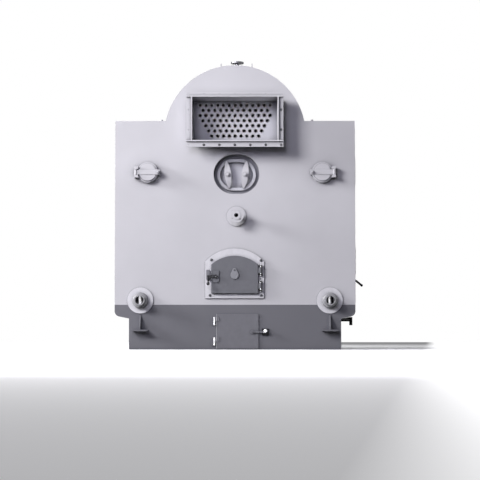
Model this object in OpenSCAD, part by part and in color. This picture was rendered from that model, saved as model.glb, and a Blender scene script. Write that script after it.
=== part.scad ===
// Low-pressure water-tube steam boiler with a sheet-clad casing.
// Front elevation faces -Y, +X is to the right and +Z is up.
// The origin is the centre of the base, on the floor.

/* [Casing] */
// Width over the flat side sheets
casing_w = 2400; // [2300:10:2600]
// Length from the front sheet to the rear sheet
casing_l = 3600; // [3000:50:4400]
// Height of the flat decks above the floor
deck_z = 2290; // [2270:5:2340]
// Height of the line where the dark lower casing meets the light one
band_top_z = 447; // [430:1:460]
// Height of the seam between the middle and the upper front sheets
seam_z = 1480; // [1420:5:1500]
// Thickness of an insulated casing wall
wall_t = 100; // [80:1:120]
// Thickness of an insulated deck
deck_t = 60; // [40:1:80]
// Radius of the lower long edges of the casing
corner_r = 55; // [35:1:70]
// Slope of the casing's underside, in degrees
underside_slope = 11.6; // [8:0.1:14]
// Height of the casing's underside over the top of the base
underside_rise = 12; // [10:1:16]

/* [Base] */
// Width of the base below the casing
base_w = 2114; // [2050:2:2140]
// Height of the base
base_h = 298; // [290:1:305]
// Thickness of the base's side walls
base_wall_t = 50; // [30:1:60]
// Width of a sleeper across the base
sleeper_w = 120; // [90:5:150]
// Height of a sleeper across the base
sleeper_h = 60; // [40:1:65]

/* [Pressed side sheets] */
// Sheets along each side
side_sheets = 3; // [2:1:4]
// How far a pressed pan stands proud of its sheet
pan_proud = 18; // [10:1:22]
// Height of one pan
pan_h = 450; // [400:5:480]
// Width of the sloped border of a pan
pan_border = 110; // [80:1:130]
// Distance from the end of a sheet to its pan
pan_margin = 90; // [70:1:120]
// Height of the lower pan's lower edge above the floor
pan_low_z = 667; // [650:1:690]
// Height of the upper pan's lower edge above the floor
pan_high_z = 1567; // [1550:1:1590]

/* [Drum] */
// Height of the drum's axis above the floor
drum_z = 2144; // [2130:1:2160]
// Outer radius of the drum
drum_r = 600; // [580:1:620]
// Thickness of the drum's shell plate
drum_shell_t = 12; // [8:1:16]
// Thickness of the flat drum ends, which are the tube sheets
tube_sheet_t = 20; // [14:1:26]
// Distance from the drum to the outside of the jacket over it
lagging_t = 110; // [100:1:120]
// Thickness of the insulated jacket
jacket_t = 60; // [40:1:70]
// Depth of the turning chamber behind the drum
turning_chamber_l = 400; // [300:10:500]

/* [Fire tubes] */
// Outer diameter of a fire tube
fire_tube_d = 42; // [38:1:44]
// Wall of a fire tube
fire_tube_wall = 3.5; // [2.5:0.5:4.5]
// Distance between neighbouring tubes of a row
tube_pitch = 59; // [56:0.5:62]
// Height from one row to the next
tube_row_pitch = 52; // [49:0.5:55]
// Height of the top row above the floor
tube_top_z = 2462; // [2440:1:2480]
// How far a tube end stands out of its tube sheet
tube_end_proud = 3; // [1:1:6]

/* [Manhole] */
// Sideways place of the manhole, the feed nozzle and the top fittings
fittings_x = 14; // [0:1:20]
// Height of the manhole's centre over the bottom of the drum
manhole_inset = 210; // [200:1:225]
// Width of the oval cut in the casing
manhole_cut_w = 458; // [440:1:480]
// Height of the oval cut in the casing
manhole_cut_h = 398; // [380:1:420]
// Width of the clear opening of the manhole
manhole_w = 330; // [320:1:350]
// Height of the clear opening of the manhole
manhole_h = 259; // [250:1:270]
// Thickness of the ring around the clear opening
manhole_ring_t = 30; // [24:1:34]
// How far the ring stands out of the drum end
manhole_ring_proud = 30; // [20:1:40]
// Thickness of the inner cover
manhole_cover_t = 25; // [18:1:32]
// How far the cover laps behind the ring
manhole_cover_lap = 18; // [12:1:22]
// Length of a clamping dog
dog_l = 274; // [266:1:284]
// Width of a clamping dog at its middle
dog_w = 68; // [55:1:80]
// Thickness of a clamping dog
dog_t = 22; // [16:1:26]
// Height of the dog's arch over the ring
dog_rise = 24; // [16:1:30]
// Distance between the two dogs' studs
dog_spacing = 172; // [160:1:184]
// Lean of each dog, in degrees
dog_lean = 6.5; // [0:0.5:10]
// Diameter of a dog's stud
dog_stud_d = 24; // [18:1:30]
// Thickness of a dog's nut
dog_nut_t = 24; // [18:1:28]
// How far the nut sits in the dog's arch
dog_nut_sunk = 4; // [3:0.5:6]

/* [Flue outlet] */
// Clear width of the flue outlet
flue_w = 845; // [820:1:880]
// Clear height of the flue outlet
flue_h = 430; // [415:1:440]
// Height of the lower edge of the clear opening
flue_z = 2069; // [2062:1:2076]
// How far the flue duct stands out of the casing
flue_proud = 250; // [200:5:300]
// Thickness of the duct's plate
flue_plate_t = 13; // [8:1:15]
// Distance from the duct's front edge back to its flange
flue_lip = 22; // [16:1:30]
// Thickness of the flange around the duct
flue_flange_t = 8; // [6:1:10]
// Width of the flange at the sides of the duct
flange_side_w = 45; // [42:1:52]
// Width of the flange under the duct
flange_low_w = 53; // [48:1:60]
// Width of the flange over the duct
flange_top_w = 36; // [34:1:44]
// Diameter of a flange hole
flue_hole_d = 16; // [12:1:18]
// Distance from the flange's outer edge to its holes
flue_hole_edge = 18; // [16:1:20]
// Distance between neighbouring holes along the flange
flue_hole_pitch = 153; // [148:0.5:156]
// Height of the lower side holes over the bottom row
flue_side_hole_low = 152; // [140:1:165]
// Height of the upper side holes over the bottom row
flue_side_hole_high = 351; // [330:1:370]

/* [Lower headers] */
// Distance from a side wall's inner face to a header's axis
header_inset = 156; // [140:1:165]
// Height of a header's axis above the floor
header_z = 490; // [480:1:500]
// Outer diameter of a header
header_d = 159; // [150:1:168]
// Wall of a header
header_wall = 8; // [6:1:10]
// Length of a header that stands out of the casing before it narrows
header_proud = 40; // [30:1:60]
// Outer diameter of the stub on a header's end
stub_d = 104; // [100:1:110]
// Diameter of the stub's bore
stub_bore_d = 82; // [76:1:86]
// Length of the stub past the shoulder
stub_l = 90; // [60:1:110]
// Diameter of the cover disc around a header
header_disc_d = 260; // [240:2:280]
// Thickness of the cover discs
disc_t = 12; // [8:1:16]

/* [Header feet] */
// Width of a foot plate
foot_w = 157; // [140:1:170]
// Height of a foot plate's underside above the floor
foot_z = 184; // [170:1:200]
// Thickness of the foot plates and ribs
foot_t = 14; // [10:1:18]
// How far a foot stands out of the front
foot_proud = 120; // [90:1:150]
// Space between a cover disc and the rib under it
rib_gap = 15; // [10:1:20]

/* [Water walls] */
// Outer diameter of a water-wall tube
wall_tube_d = 51; // [44:1:57]
// Distance between neighbouring water-wall tubes
wall_tube_pitch = 105; // [90:1:120]
// Radius of the bend beside the drum
wall_tube_bend_r = 200; // [160:5:240]

/* [Grate] */
// Height of the grate's top above the floor
grate_z = 510; // [500:1:520]
// Depth of a grate bar
grate_bar_h = 60; // [40:1:70]
// Width of a grate bar
grate_bar_w = 40; // [30:1:50]
// Distance between neighbouring grate bars
grate_pitch = 62; // [56:1:80]
// Width of the whole grate
grate_w = 1500; // [1300:10:1600]
// Width of a cross bearer under the grate
bearer_w = 60; // [40:1:80]

/* [Feed nozzle] */
// Height of the nozzle's axis above the floor
feed_z = 1331; // [1310:1:1350]
// Diameter of the nozzle's bore
feed_bore_d = 40; // [36:1:42]
// Outer diameter of the nozzle's pipe
feed_pipe_d = 48; // [46:1:52]
// Diameter of the nozzle's flange
feed_flange_d = 150; // [145:1:156]
// Bolt circle of the nozzle's flange
feed_pcd = 110; // [106:1:112]
// Diameter of a bolt hole in the round flanges
flange_hole_d = 18; // [16:1:19]
// Thickness of the round flanges
flange_t = 16; // [12:1:20]
// Diameter of the raised sealing face
raised_face_d = 88; // [80:1:90]
// Height of the raised sealing face
raised_face_h = 3; // [2:0.5:4]
// Space between a raised face and the bolt holes round it
face_gap = 4; // [3:0.5:6]
// Distance from the casing to the nozzle's sealing face
feed_proud = 160; // [140:1:180]
// Diameter of the cover disc around the nozzle
feed_disc_d = 195; // [180:1:210]

/* [Top fittings] */
// Distance from the front of the casing to the top nozzle
top_nozzle_y = 1000; // [800:10:1200]
// Height of the top nozzle's sealing face above the jacket
top_nozzle_h = 200; // [180:1:220]
// Diameter of the top nozzle's bore
top_bore_d = 34; // [30:1:36]
// Outer diameter of the top nozzle's pipe
top_pipe_d = 42; // [40:1:46]
// Diameter of the top nozzle's flange
top_flange_d = 140; // [134:1:146]
// Bolt circle of the top nozzle's flange
top_pcd = 100; // [96:1:104]
// Distance between the two rows of lifting lugs
lug_spacing = 316; // [290:2:340]
// Distance from a casing end to its lifting lugs
lug_y = 300; // [250:5:400]
// Height of a lifting lug over the top of the jacket
lug_h = 64; // [50:1:80]
// Length of a lifting lug
lug_l = 120; // [100:1:150]
// Thickness of a lifting lug
lug_t = 12; // [8:1:16]
// Diameter of the eye in a lifting lug
lug_eye_d = 36; // [30:1:40]

/* [Inspection covers] */
// Distance between the two inspection necks' axes
neck_spacing = 1744; // [1720:2:1760]
// Height of the necks' axes above the floor
neck_z = 1768; // [1755:1:1780]
// Outer diameter of a neck
neck_d = 203; // [195:1:210]
// Clear diameter of a neck
neck_bore_d = 150; // [140:1:154]
// How far a neck stands out of the casing
neck_proud = 55; // [45:1:70]
// Diameter of a round cover
lid_d = 170; // [166:1:176]
// Thickness of a round cover
lid_t = 18; // [14:1:22]
// Height of the strap across a cover
strap_h = 50; // [40:1:56]
// Thickness of the strap
strap_t = 5; // [4:0.5:8]
// Distance from a neck's axis to its cover's hinge pin
lid_pin_x = 118; // [116:1:122]
// Distance from a neck's axis to its clamping nut
lid_nut_x = 102; // [100:1:106]
// Height of the fixed hinge lugs over both ends
lid_lug_h = 110; // [100:1:120]
// Distance from a neck's bore to the root of its hinge lugs
neck_lug_root = 5; // [4:1:8]
// Distance from a cover's hinge pin to the inner side of its solid lugs
lug_reach = 26; // [22:1:27]
// Width of the ear behind the clamping nut
ear_w = 24; // [20:1:28]
// Width of the clamping nut over its corners
lid_nut_d = 34; // [30:1:38]
// Thickness of the clamping nut
lid_nut_t = 16; // [12:1:20]
// Diameter of the clamping stud
lid_stud_d = 18; // [16:1:20]

/* [Fire door] */
// Sideways place of the fire door's middle
fire_door_x = -4; // [-10:1:0]
// Height of the frame plate's lower edge above the floor
frame_low_z = 511; // [505:1:516]
// Width of the frame plate
frame_w = 586; // [570:2:600]
// Height of the frame plate's straight sides
frame_side_h = 366; // [350:1:380]
// Rise of the frame plate's arch
frame_rise = 131; // [120:1:140]
// Thickness of the frame plate
frame_t = 16; // [12:1:20]
// How far the frame plate laps over the edge of the casing's cut
frame_lap = 43; // [38:1:48]
// Width of the door leaf
leaf_w = 464; // [456:2:470]
// Height of the leaf's lower edge above the floor
leaf_low_z = 561; // [556:1:566]
// Height of the leaf's straight sides
leaf_side_h = 286; // [276:1:296]
// Rise of the leaf's arch
leaf_rise = 87; // [80:1:94]
// Thickness of the door leaf
leaf_t = 30; // [24:1:36]
// How far the leaf laps over the doorway at each edge
leaf_lap = 27; // [22:1:32]
// Width of the throat plate that lines the doorway
throat_t = 18; // [12:1:22]
// Space between a closed leaf and its frame
door_gap = 5; // [5:0.5:7]
// Distance from the leaf's edge to the hinge pin
fire_pin_x = 26; // [24:1:28]
// Diameter of the hinge pins
hinge_pin_d = 14; // [10:1:16]
// How far the hinge pins stand in front of the leaf's middle
pin_out = 3; // [2:0.5:4]
// Outer diameter of the fixed hinge lugs
hinge_eye_d = 32; // [28:1:36]
// How far a moving hinge eye stays inside the outline of its fixed lugs
eye_step = 2; // [1:0.5:3]
// How far a hinge pin stands out of its lugs
pin_end = 5; // [3:1:7]
// How far a hinge strap runs into the edge of the leaf
strap_root = 10; // [8:1:14]
// Height of one hinge over both fixed lugs
fire_hinge_h = 96; // [88:1:104]
// Height of a fixed hinge lug
hinge_lug_h = 20; // [16:1:24]
// Height of the upper hinge's middle over the leaf's lower edge
fire_hinge_high = 228; // [220:1:236]
// Height of the lower hinge's middle over the leaf's lower edge
fire_hinge_low = 71; // [66:1:78]
// Height of the peephole over the leaf's lower edge
peephole_z = 180; // [170:1:190]
// Diameter of the peephole
peephole_d = 44; // [36:1:50]
// Diameter of the peephole cover's disc
peep_cover_d = 82; // [76:1:88]
// Distance from the peephole to its cover's pivot
peep_arm = 50; // [48:1:54]
// Diameter of the cover's upper end, round its pivot
peep_top_d = 42; // [38:1:46]
// Thickness of the peephole cover
peep_cover_t = 8; // [6:1:10]

/* [Fire door latch] */
// Diameter of the pins on which the latches and the peephole cover turn
pivot_pin_d = 14; // [12:1:16]
// How far a pivot pin stands out in front of the piece that turns on it
pivot_pin_end = 8; // [6:1:10]
// Distance from the leaf's free edge to the latch pivot
latch_pivot_x = 47; // [42:1:52]
// Height of the latch pivot over the leaf's lower edge
latch_pivot_z = 166; // [156:1:176]
// Width of the bracket plate that carries the latch
latch_plate_w = 60; // [50:1:66]
// Height of the bracket plate that carries the latch
latch_plate_h = 118; // [108:1:126]
// Thickness of the bracket plate that carries the latch
latch_plate_t = 12; // [8:1:14]
// Length of the latch arm from its pivot to the handle
latch_arm_l = 76; // [72:1:84]
// Depth of the latch arm
latch_arm_h = 26; // [22:1:30]
// Thickness of the latch arm
latch_arm_t = 12; // [8:1:14]
// Diameter of a latch's eye around its pivot
latch_eye_d = 36; // [32:1:40]
// Width of the plate on the frame that carries the latch's shelf
rest_w = 34; // [30:1:40]
// Height of that plate over the latch pivot
rest_h = 65; // [55:1:70]
// Thickness of that plate
rest_t = 14; // [10:1:16]
// Width of the shelf under the closed latch
shelf_w = 22; // [18:1:26]
// Thickness of the shelf under the closed latch
shelf_t = 12; // [10:1:14]
// Length of the latch handle
latch_handle_l = 105; // [90:1:120]
// Diameter of the latch handle
latch_handle_d = 14; // [12:1:16]
// Diameter of the ball on the latch handle
latch_ball_d = 34; // [30:1:38]

/* [Ash door] */
// Sideways place of the ash door's middle
ash_door_x = 24; // [16:1:32]
// Width of the ash door leaf
ash_leaf_w = 420; // [410:2:430]
// Height of the ash door leaf
ash_leaf_h = 347; // [341:1:352]
// Height of the leaf's lower edge above the floor
ash_low_z = 9; // [8:1:12]
// How far the leaf laps over the opening at each edge
ash_lap = 15; // [12:1:18]
// Thickness of the ash door leaf
ash_leaf_t = 8; // [6:1:10]
// Distance from the leaf's edge to the hinge barrels' axis
ash_pin_x = 20; // [18:1:22]
// Diameter of the hinge barrels
ash_barrel_d = 19; // [17:1:22]
// Height of one hinge barrel
ash_barrel_h = 81; // [75:1:86]
// Height of the lower barrel's middle over the leaf's lower edge
ash_hinge_low = 74; // [68:1:80]
// Height of the upper barrel's middle over the leaf's lower edge
ash_hinge_high = 274; // [264:1:284]
// Distance from the leaf's free edge to the latch pivot
ash_latch_x = 66; // [58:1:74]
// Height of the ash latch above the floor
ash_latch_z = 176; // [168:1:184]
// Length of the ash latch from its pivot to its ball
ash_latch_l = 135; // [128:1:142]
// Depth of the ash latch's bar
ash_bar_h = 16; // [12:1:20]
// Diameter of the ash latch's ball
ash_ball_d = 40; // [34:1:44]
// Height of the ball's middle over the middle of the bar
ash_ball_rise = 12; // [8:1:14]
// Diameter of the boss behind the ash latch
ash_boss_d = 40; // [36:1:44]
// Thickness of the boss behind the ash latch
ash_boss_t = 6; // [5:0.5:8]
// How far the hinge straps lap over the ash door
ash_strap_l = 30; // [24:1:36]
// Width of the fixed hinge leaves beside their barrels
ash_hinge_leaf = 24; // [18:1:30]
// Width of the catch plate behind the ash latch's ball
catch_w = 66; // [58:1:68]
// Height of the catch plate
catch_h = 65; // [58:1:70]
// Thickness of the catch plate
catch_t = 14; // [10:0.5:14]
// Width of the shelf under the closed ash latch
ash_shelf_w = 24; // [20:1:30]
// Thickness of that shelf
ash_shelf_t = 10; // [8:1:12]

/* [Right side] */
// Distance from the front of the casing to the damper lever
lever_y = 300; // [250:5:350]
// Height of the damper lever's shaft above the floor
lever_z = 705; // [696:1:716]
// Diameter of the damper lever's shaft
lever_shaft_d = 20; // [16:1:24]
// Depth to which the damper lever's shaft sits in the wall
lever_socket = 60; // [50:1:70]
// Distance from the side sheet to the damper lever's elbow
lever_elbow = 14; // [12:1:18]
// Length of the damper lever's arm
lever_arm_l = 88; // [80:1:100]
// Diameter of the ball on the damper lever
lever_ball_d = 26; // [22:1:30]
// Slope of the damper lever's arm below level, in degrees
lever_slope = 39; // [34:1:46]
// Distance from the front of the casing to the drain pipe
drain_y = 200; // [160:5:250]
// Diameter of the drain pipe
drain_d = 24; // [18:1:25]
// Depth of the drain pipe's axis below the top of the base
drain_drop = 3; // [2:1:8]
// Length of the drain pipe beside the base
drain_l = 108; // [100:1:112]
// Diameter of the drain's outlet body
drain_body_d = 32; // [28:1:36]
// Height of the drain's outlet body
drain_body_h = 82; // [76:1:88]
// Gap between the outlet body and the casing's underside
drain_gap = 2; // [1:0.5:4]

/* [Clearances] */
// Space round a pipe that passes through a wall
pass_gap = 0.5; // [0.3:0.1:1]
// Space between pieces seated on each other's curved faces
seat_gap = 0.3; // [0.2:0.05:0.5]
// Space round a hinge pin in its eye
pin_gap = 0.3; // [0.2:0.05:0.5]
// Space between hinge eyes along their pin
eye_gap = 0.5; // [0.3:0.1:0.8]

/* [Hidden] */
$fn = 64;
eps = 0.01;
front_y = -casing_l / 2;
rear_y = casing_l / 2;
inner_front_y = front_y + wall_t;
inner_rear_y = rear_y - wall_t;
half_w = casing_w / 2;
base_half = base_w / 2;
drum_rear_y = inner_rear_y - turning_chamber_l;
jacket_r = drum_r + lagging_t;
header_x = half_w - wall_t - header_inset;
header_r = header_d / 2;
neck_x = neck_spacing / 2;
moving_eye_d = hinge_eye_d - 2 * eye_step;

// Lower corner of the casing: the arc's centre and where it meets the slope
corner_x = half_w - corner_r;
underside_z = base_h + underside_rise;
corner_z = underside_z + (corner_r / cos(underside_slope))
    + (corner_x - base_half) * tan(underside_slope);
corner_end_x = corner_x + corner_r * sin(underside_slope);
corner_end_z = corner_z - corner_r * cos(underside_slope);

// Front wall: the fields into which it is split
door_cut_half = frame_w / 2 - frame_lap;
door_cut_low_z = frame_low_z + frame_lap;
door_cut_side_h = leaf_low_z + leaf_side_h - door_cut_low_z;
door_cut_rise = leaf_rise - leaf_lap + throat_t + frame_lap / 2;
head_low_z = flue_z - flue_plate_t;

// Fire door opening, inside the lap of the leaf
mouth_half = leaf_w / 2 - leaf_lap;
mouth_low_z = leaf_low_z + leaf_lap;
mouth_side_h = leaf_side_h - leaf_lap;
mouth_rise = leaf_rise - leaf_lap;
leaf_back_y = front_y - frame_t - door_gap;
leaf_front_y = leaf_back_y - leaf_t;
fire_pin_at_x = fire_door_x + leaf_w / 2 + fire_pin_x;
fire_pin_y = leaf_back_y - leaf_t / 2 - pin_out;
latch_x = fire_door_x - leaf_w / 2 + latch_pivot_x;
latch_z = leaf_low_z + latch_pivot_z;
latch_back_y = leaf_front_y - latch_plate_t - door_gap;
peep_z = leaf_low_z + peephole_z;
peep_pivot_z = peep_z + peep_arm;
peep_back_y = leaf_front_y - door_gap;
latch_pin_y = latch_back_y - latch_arm_t - pivot_pin_end;
peep_pin_y = peep_back_y - peep_cover_t - pivot_pin_end;

// Ash door
ash_back_y = front_y - door_gap;
ash_front_y = ash_back_y - ash_leaf_t;
ash_left_x = ash_door_x - ash_leaf_w / 2;
ash_right_x = ash_door_x + ash_leaf_w / 2;
ash_top_z = ash_low_z + ash_leaf_h;
ash_pin_at_x = ash_left_x - ash_pin_x;
ash_pin_y = ash_front_y - pin_out;
ash_pivot_x = ash_right_x - ash_latch_x;
ash_latch_back_y = ash_front_y - ash_boss_t - seat_gap;
ash_pivot_y = ash_latch_back_y - latch_arm_t - pivot_pin_end;

// Inspection covers
neck_front_y = front_y - neck_proud;
lid_back_y = neck_front_y - door_gap;
lid_front_y = lid_back_y - lid_t;
lid_pin_y = lid_front_y - strap_t / 2;

// Flue outlet
flue_front_y = front_y - flue_proud;
flue_flange_y = flue_front_y + flue_lip;
flange_half = flue_w / 2 + flue_plate_t + flange_side_w;
flange_low_z = flue_z - flue_plate_t - flange_low_w;
flange_top_z = flue_z + flue_h + flue_plate_t + flange_top_w;
flue_low_z = flue_z - flue_plate_t;
flue_top_z = flue_z + flue_h + flue_plate_t;
flue_half = flue_w / 2 + flue_plate_t;
flue_hole_x = 3 * flue_hole_pitch;
flue_hole_low_z = flange_low_z + flue_hole_edge;
flue_hole_top_z = flange_top_z - flue_hole_edge;

// Manhole
manhole_z = drum_z - drum_r + manhole_inset;
manhole_ring_y = inner_front_y - manhole_ring_proud;

// Rows of fire tubes, counted from the top
tube_rows = [13, 12, 13, 12, 11, 10, 9];

wall_tube_count = floor((drum_rear_y - inner_front_y - 2 * wall_tube_d) / wall_tube_pitch) + 1;
grate_bars = floor((grate_w - grate_bar_w) / grate_pitch) + 1;

light_paint = "gainsboro";
dark_paint = "dimgray";
black_paint = "#202022";
bare_steel = "silver";

// A flat outline in X and Z, made into a plate whose back lies at back_y
module plate(back_y, t) {
    translate([0, back_y, 0])
        rotate([90, 0, 0])
            linear_extrude(t)
                children();
}

// A flat outline in X and Z, drawn out along Y from one place to another
module along_y(from_y, to_y) {
    plate(to_y, to_y - from_y)
        children();
}

module rod_y(x, z, from_y, to_y, d) {
    translate([x, to_y, z])
        rotate([90, 0, 0])
            cylinder(d = d, h = to_y - from_y);
}

module field(x0, x1, z0, z1) {
    translate([x0, z0])
        square([x1 - x0, z1 - z0]);
}

module both_sides() {
    children();
    mirror([1, 0, 0])
        children();
}

// An oval with round ends
module oval(w, h) {
    for (side = [-1, 1])
        translate([side * (w - h) / 2, 0])
            circle(d = h);
    square([w - h, h], center = true);
}

// Straight sides under a segmental arch
module arch(half, low_z, side_h, rise) {
    r = (half * half + rise * rise) / (2 * rise);
    field(-half, half, low_z, low_z + side_h);
    intersection() {
        translate([0, low_z + side_h + rise - r])
            circle(r = r);
        field(-half, half, low_z + side_h - 1, low_z + side_h + rise + 1);
    }
}

// Right half of the lower casing with its rounded edge, down to the base
module band_half(inner_x, low_z) {
    edge = [half_w, underside_z + (half_w - base_half) * tan(underside_slope)];
    difference() {
        polygon([
            [inner_x, band_top_z],
            [half_w, band_top_z],
            edge,
            [base_half, underside_z],
            [base_half, low_z],
            [inner_x, low_z]
        ]);
        difference() {
            polygon([
                [half_w + 1, corner_z],
                [corner_x, corner_z],
                [corner_end_x, corner_end_z],
                edge + [1, -1]
            ]);
            translate([corner_x, corner_z])
                circle(r = corner_r + 5 * eps);
        }
    }
}

module header_hole() {
    translate([header_x, header_z])
        circle(r = header_r + pass_gap);
}

module skirt_right_outline(inner_x) {
    difference() {
        band_half(inner_x, 0);
        header_hole();
    }
}

module front_skirt_left() {
    color(dark_paint)
        plate(inner_front_y, wall_t)
            mirror([1, 0])
                skirt_right_outline(-ash_left_x - ash_lap);
}

module front_skirt_right() {
    color(dark_paint)
        plate(inner_front_y, wall_t)
            skirt_right_outline(ash_right_x - ash_lap);
}

// The strips over and under the ash door's opening
module front_skirt_lintel() {
    color(dark_paint)
        plate(inner_front_y, wall_t) {
            field(ash_left_x + ash_lap, ash_right_x - ash_lap, ash_top_z - ash_lap, band_top_z);
            field(ash_left_x + ash_lap, ash_right_x - ash_lap, 0, ash_low_z + ash_lap);
        }
}

// The side walls of the base with the sleepers that tie them together at the floor
module base_sides() {
    color(dark_paint) {
        both_sides()
            along_y(inner_front_y, inner_rear_y)
                field(base_half - base_wall_t, base_half, 0, base_h);
        for (i = [-1:1])
            translate([0, i * casing_l / 4, sleeper_h / 2])
                cube([base_w - 2 * base_wall_t + 2 * eps, sleeper_w, sleeper_h], center = true);
    }
}

module base_rear() {
    color(dark_paint)
        plate(rear_y, wall_t)
            both_sides()
                band_half(-1, 0);
}

module side_bands() {
    inner_slope_z = underside_z + base_wall_t;
    inner_wall_z = inner_slope_z + (half_w - wall_t - base_half) * tan(underside_slope);
    color(dark_paint)
        both_sides()
            along_y(inner_front_y, inner_rear_y)
                difference() {
                    band_half(base_half - base_wall_t, base_h);
                    polygon([
                        [base_half - base_wall_t - 1, base_h + base_wall_t],
                        [base_half, inner_slope_z],
                        [half_w - wall_t, inner_wall_z],
                        [half_w - wall_t, band_top_z + 1],
                        [base_half - base_wall_t - 1, band_top_z + 1]
                    ]);
                }
}

// The front sheet from its place beside the fire door to the right-hand side
module front_field(inner_x) {
    plate(inner_front_y, wall_t)
        difference() {
            field(inner_x, half_w, band_top_z, seam_z);
            header_hole();
        }
}

module front_wall_left() {
    color(light_paint)
        mirror([1, 0, 0])
            front_field(door_cut_half - fire_door_x);
}

module front_wall_right() {
    color(light_paint)
        front_field(door_cut_half + fire_door_x);
}

// The front sheet under and over the fire door
module front_wall_middle() {
    color(light_paint)
        plate(inner_front_y, wall_t)
            difference() {
                translate([fire_door_x, 0])
                    difference() {
                        field(-door_cut_half, door_cut_half, band_top_z, seam_z);
                        arch(door_cut_half + eps, door_cut_low_z, door_cut_side_h, door_cut_rise);
                    }
                translate([fittings_x, feed_z])
                    circle(d = feed_pipe_d + 2 * pass_gap);
            }
}

module front_wall_upper() {
    color(light_paint)
        plate(inner_front_y, wall_t)
            difference() {
                field(-half_w, half_w, seam_z, head_low_z);
                translate([fittings_x, manhole_z])
                    oval(manhole_cut_w, manhole_cut_h);
                for (side = [-1, 1])
                    translate([side * neck_x, neck_z])
                        circle(d = neck_d + 2 * pass_gap);
            }
}

module casing_outline(low_z) {
    field(-half_w, half_w, low_z, deck_z);
    intersection() {
        translate([0, drum_z])
            circle(r = jacket_r, $fn = 128);
        field(-jacket_r, jacket_r, low_z, drum_z + jacket_r + 1);
    }
}

module front_head() {
    color(light_paint)
        plate(inner_front_y, wall_t)
            difference() {
                casing_outline(head_low_z);
                field(-flue_half, flue_half, head_low_z - 1, flue_top_z);
            }
}

module side_wall() {
    along_y(inner_front_y, inner_rear_y)
        field(half_w - wall_t, half_w, band_top_z, deck_z - deck_t);
}

module side_wall_left() {
    color(light_paint)
        mirror([1, 0, 0])
            side_wall();
}

module side_wall_right() {
    color(light_paint)
        difference() {
            side_wall();
            translate([half_w - lever_socket, front_y + lever_y, lever_z])
                rotate([0, 90, 0])
                    cylinder(d = lever_shaft_d + 2 * pin_gap, h = lever_socket + 1);
        }
}

module pan_profile(span) {
    polygon([
        [0, -span / 2],
        [pan_proud, pan_border - span / 2],
        [pan_proud, span / 2 - pan_border],
        [0, span / 2]
    ]);
}

// A raised field with sloped borders: one section along the length meets one up the height
module pan(l, h) {
    intersection() {
        rotate([90, 0, 0])
            linear_extrude(l, center = true)
                pan_profile(h);
        linear_extrude(h, center = true)
            pan_profile(l);
    }
}

module side_pans() {
    sheet_l = casing_l / side_sheets;
    color(light_paint)
        difference() {
            both_sides()
                for (i = [0:side_sheets - 1], low_z = [pan_low_z, pan_high_z])
                    translate([half_w, front_y + (i + 0.5) * sheet_l, low_z + pan_h / 2])
                        pan(sheet_l - 2 * pan_margin, pan_h);
            translate([half_w - 1, front_y + lever_y, lever_z])
                rotate([0, 90, 0])
                    cylinder(d = lever_shaft_d + 2 * door_gap, h = pan_proud + 2);
        }
}

module top_decks() {
    color(light_paint)
        both_sides()
            along_y(inner_front_y, inner_rear_y)
                difference() {
                    field(drum_r, half_w, deck_z - deck_t, deck_z);
                    translate([0, drum_z])
                        circle(r = jacket_r + seat_gap, $fn = 128);
                }
}

module drum_jacket() {
    color(light_paint)
        difference() {
            along_y(inner_front_y, inner_rear_y)
                difference() {
                    translate([0, drum_z])
                        circle(r = jacket_r, $fn = 128);
                    translate([0, drum_z])
                        circle(r = jacket_r - jacket_t, $fn = 128);
                    field(-jacket_r, jacket_r, 0, deck_z - deck_t);
                }
            translate([fittings_x, front_y + top_nozzle_y, drum_z])
                cylinder(d = top_pipe_d + 2 * pass_gap, h = jacket_r + 1);
        }
}

module rear_wall() {
    color(light_paint)
        plate(rear_y, wall_t)
            casing_outline(band_top_z);
}

module drum_shell() {
    color(bare_steel)
        along_y(inner_front_y + tube_sheet_t, drum_rear_y - tube_sheet_t)
            translate([0, drum_z])
                difference() {
                    circle(r = drum_r, $fn = 128);
                    circle(r = drum_r - drum_shell_t, $fn = 128);
                }
}

module at_fire_tubes() {
    for (row = [0:len(tube_rows) - 1], i = [0:tube_rows[row] - 1])
        translate([(i - (tube_rows[row] - 1) / 2) * tube_pitch, tube_top_z - row * tube_row_pitch])
            children();
}

module tube_sheet_outline() {
    difference() {
        translate([0, drum_z])
            circle(r = drum_r, $fn = 128);
        at_fire_tubes()
            circle(d = fire_tube_d + 2 * seat_gap, $fn = 24);
    }
}

module tube_sheets() {
    color(bare_steel) {
        plate(inner_front_y + tube_sheet_t, tube_sheet_t)
            difference() {
                tube_sheet_outline();
                translate([fittings_x, manhole_z])
                    oval(
                        manhole_w + 2 * manhole_ring_t + 2 * seat_gap,
                        manhole_h + 2 * manhole_ring_t + 2 * seat_gap
                    );
            }
        plate(drum_rear_y, tube_sheet_t)
            tube_sheet_outline();
    }
}

module fire_tubes() {
    color(bare_steel)
        along_y(inner_front_y - tube_end_proud, drum_rear_y + tube_end_proud)
            at_fire_tubes()
                difference() {
                    circle(d = fire_tube_d, $fn = 24);
                    circle(d = fire_tube_d - 2 * fire_tube_wall, $fn = 24);
                }
}

module manhole_ring() {
    color(light_paint)
        along_y(manhole_ring_y, inner_front_y + tube_sheet_t)
            translate([fittings_x, manhole_z])
                difference() {
                    oval(manhole_w + 2 * manhole_ring_t, manhole_h + 2 * manhole_ring_t);
                    oval(manhole_w, manhole_h);
                }
}

module manhole_cover() {
    color(light_paint)
        along_y(inner_front_y + tube_sheet_t, inner_front_y + tube_sheet_t + manhole_cover_t)
            translate([fittings_x, manhole_z])
                oval(manhole_w + 2 * manhole_cover_lap, manhole_h + 2 * manhole_cover_lap);
}

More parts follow.
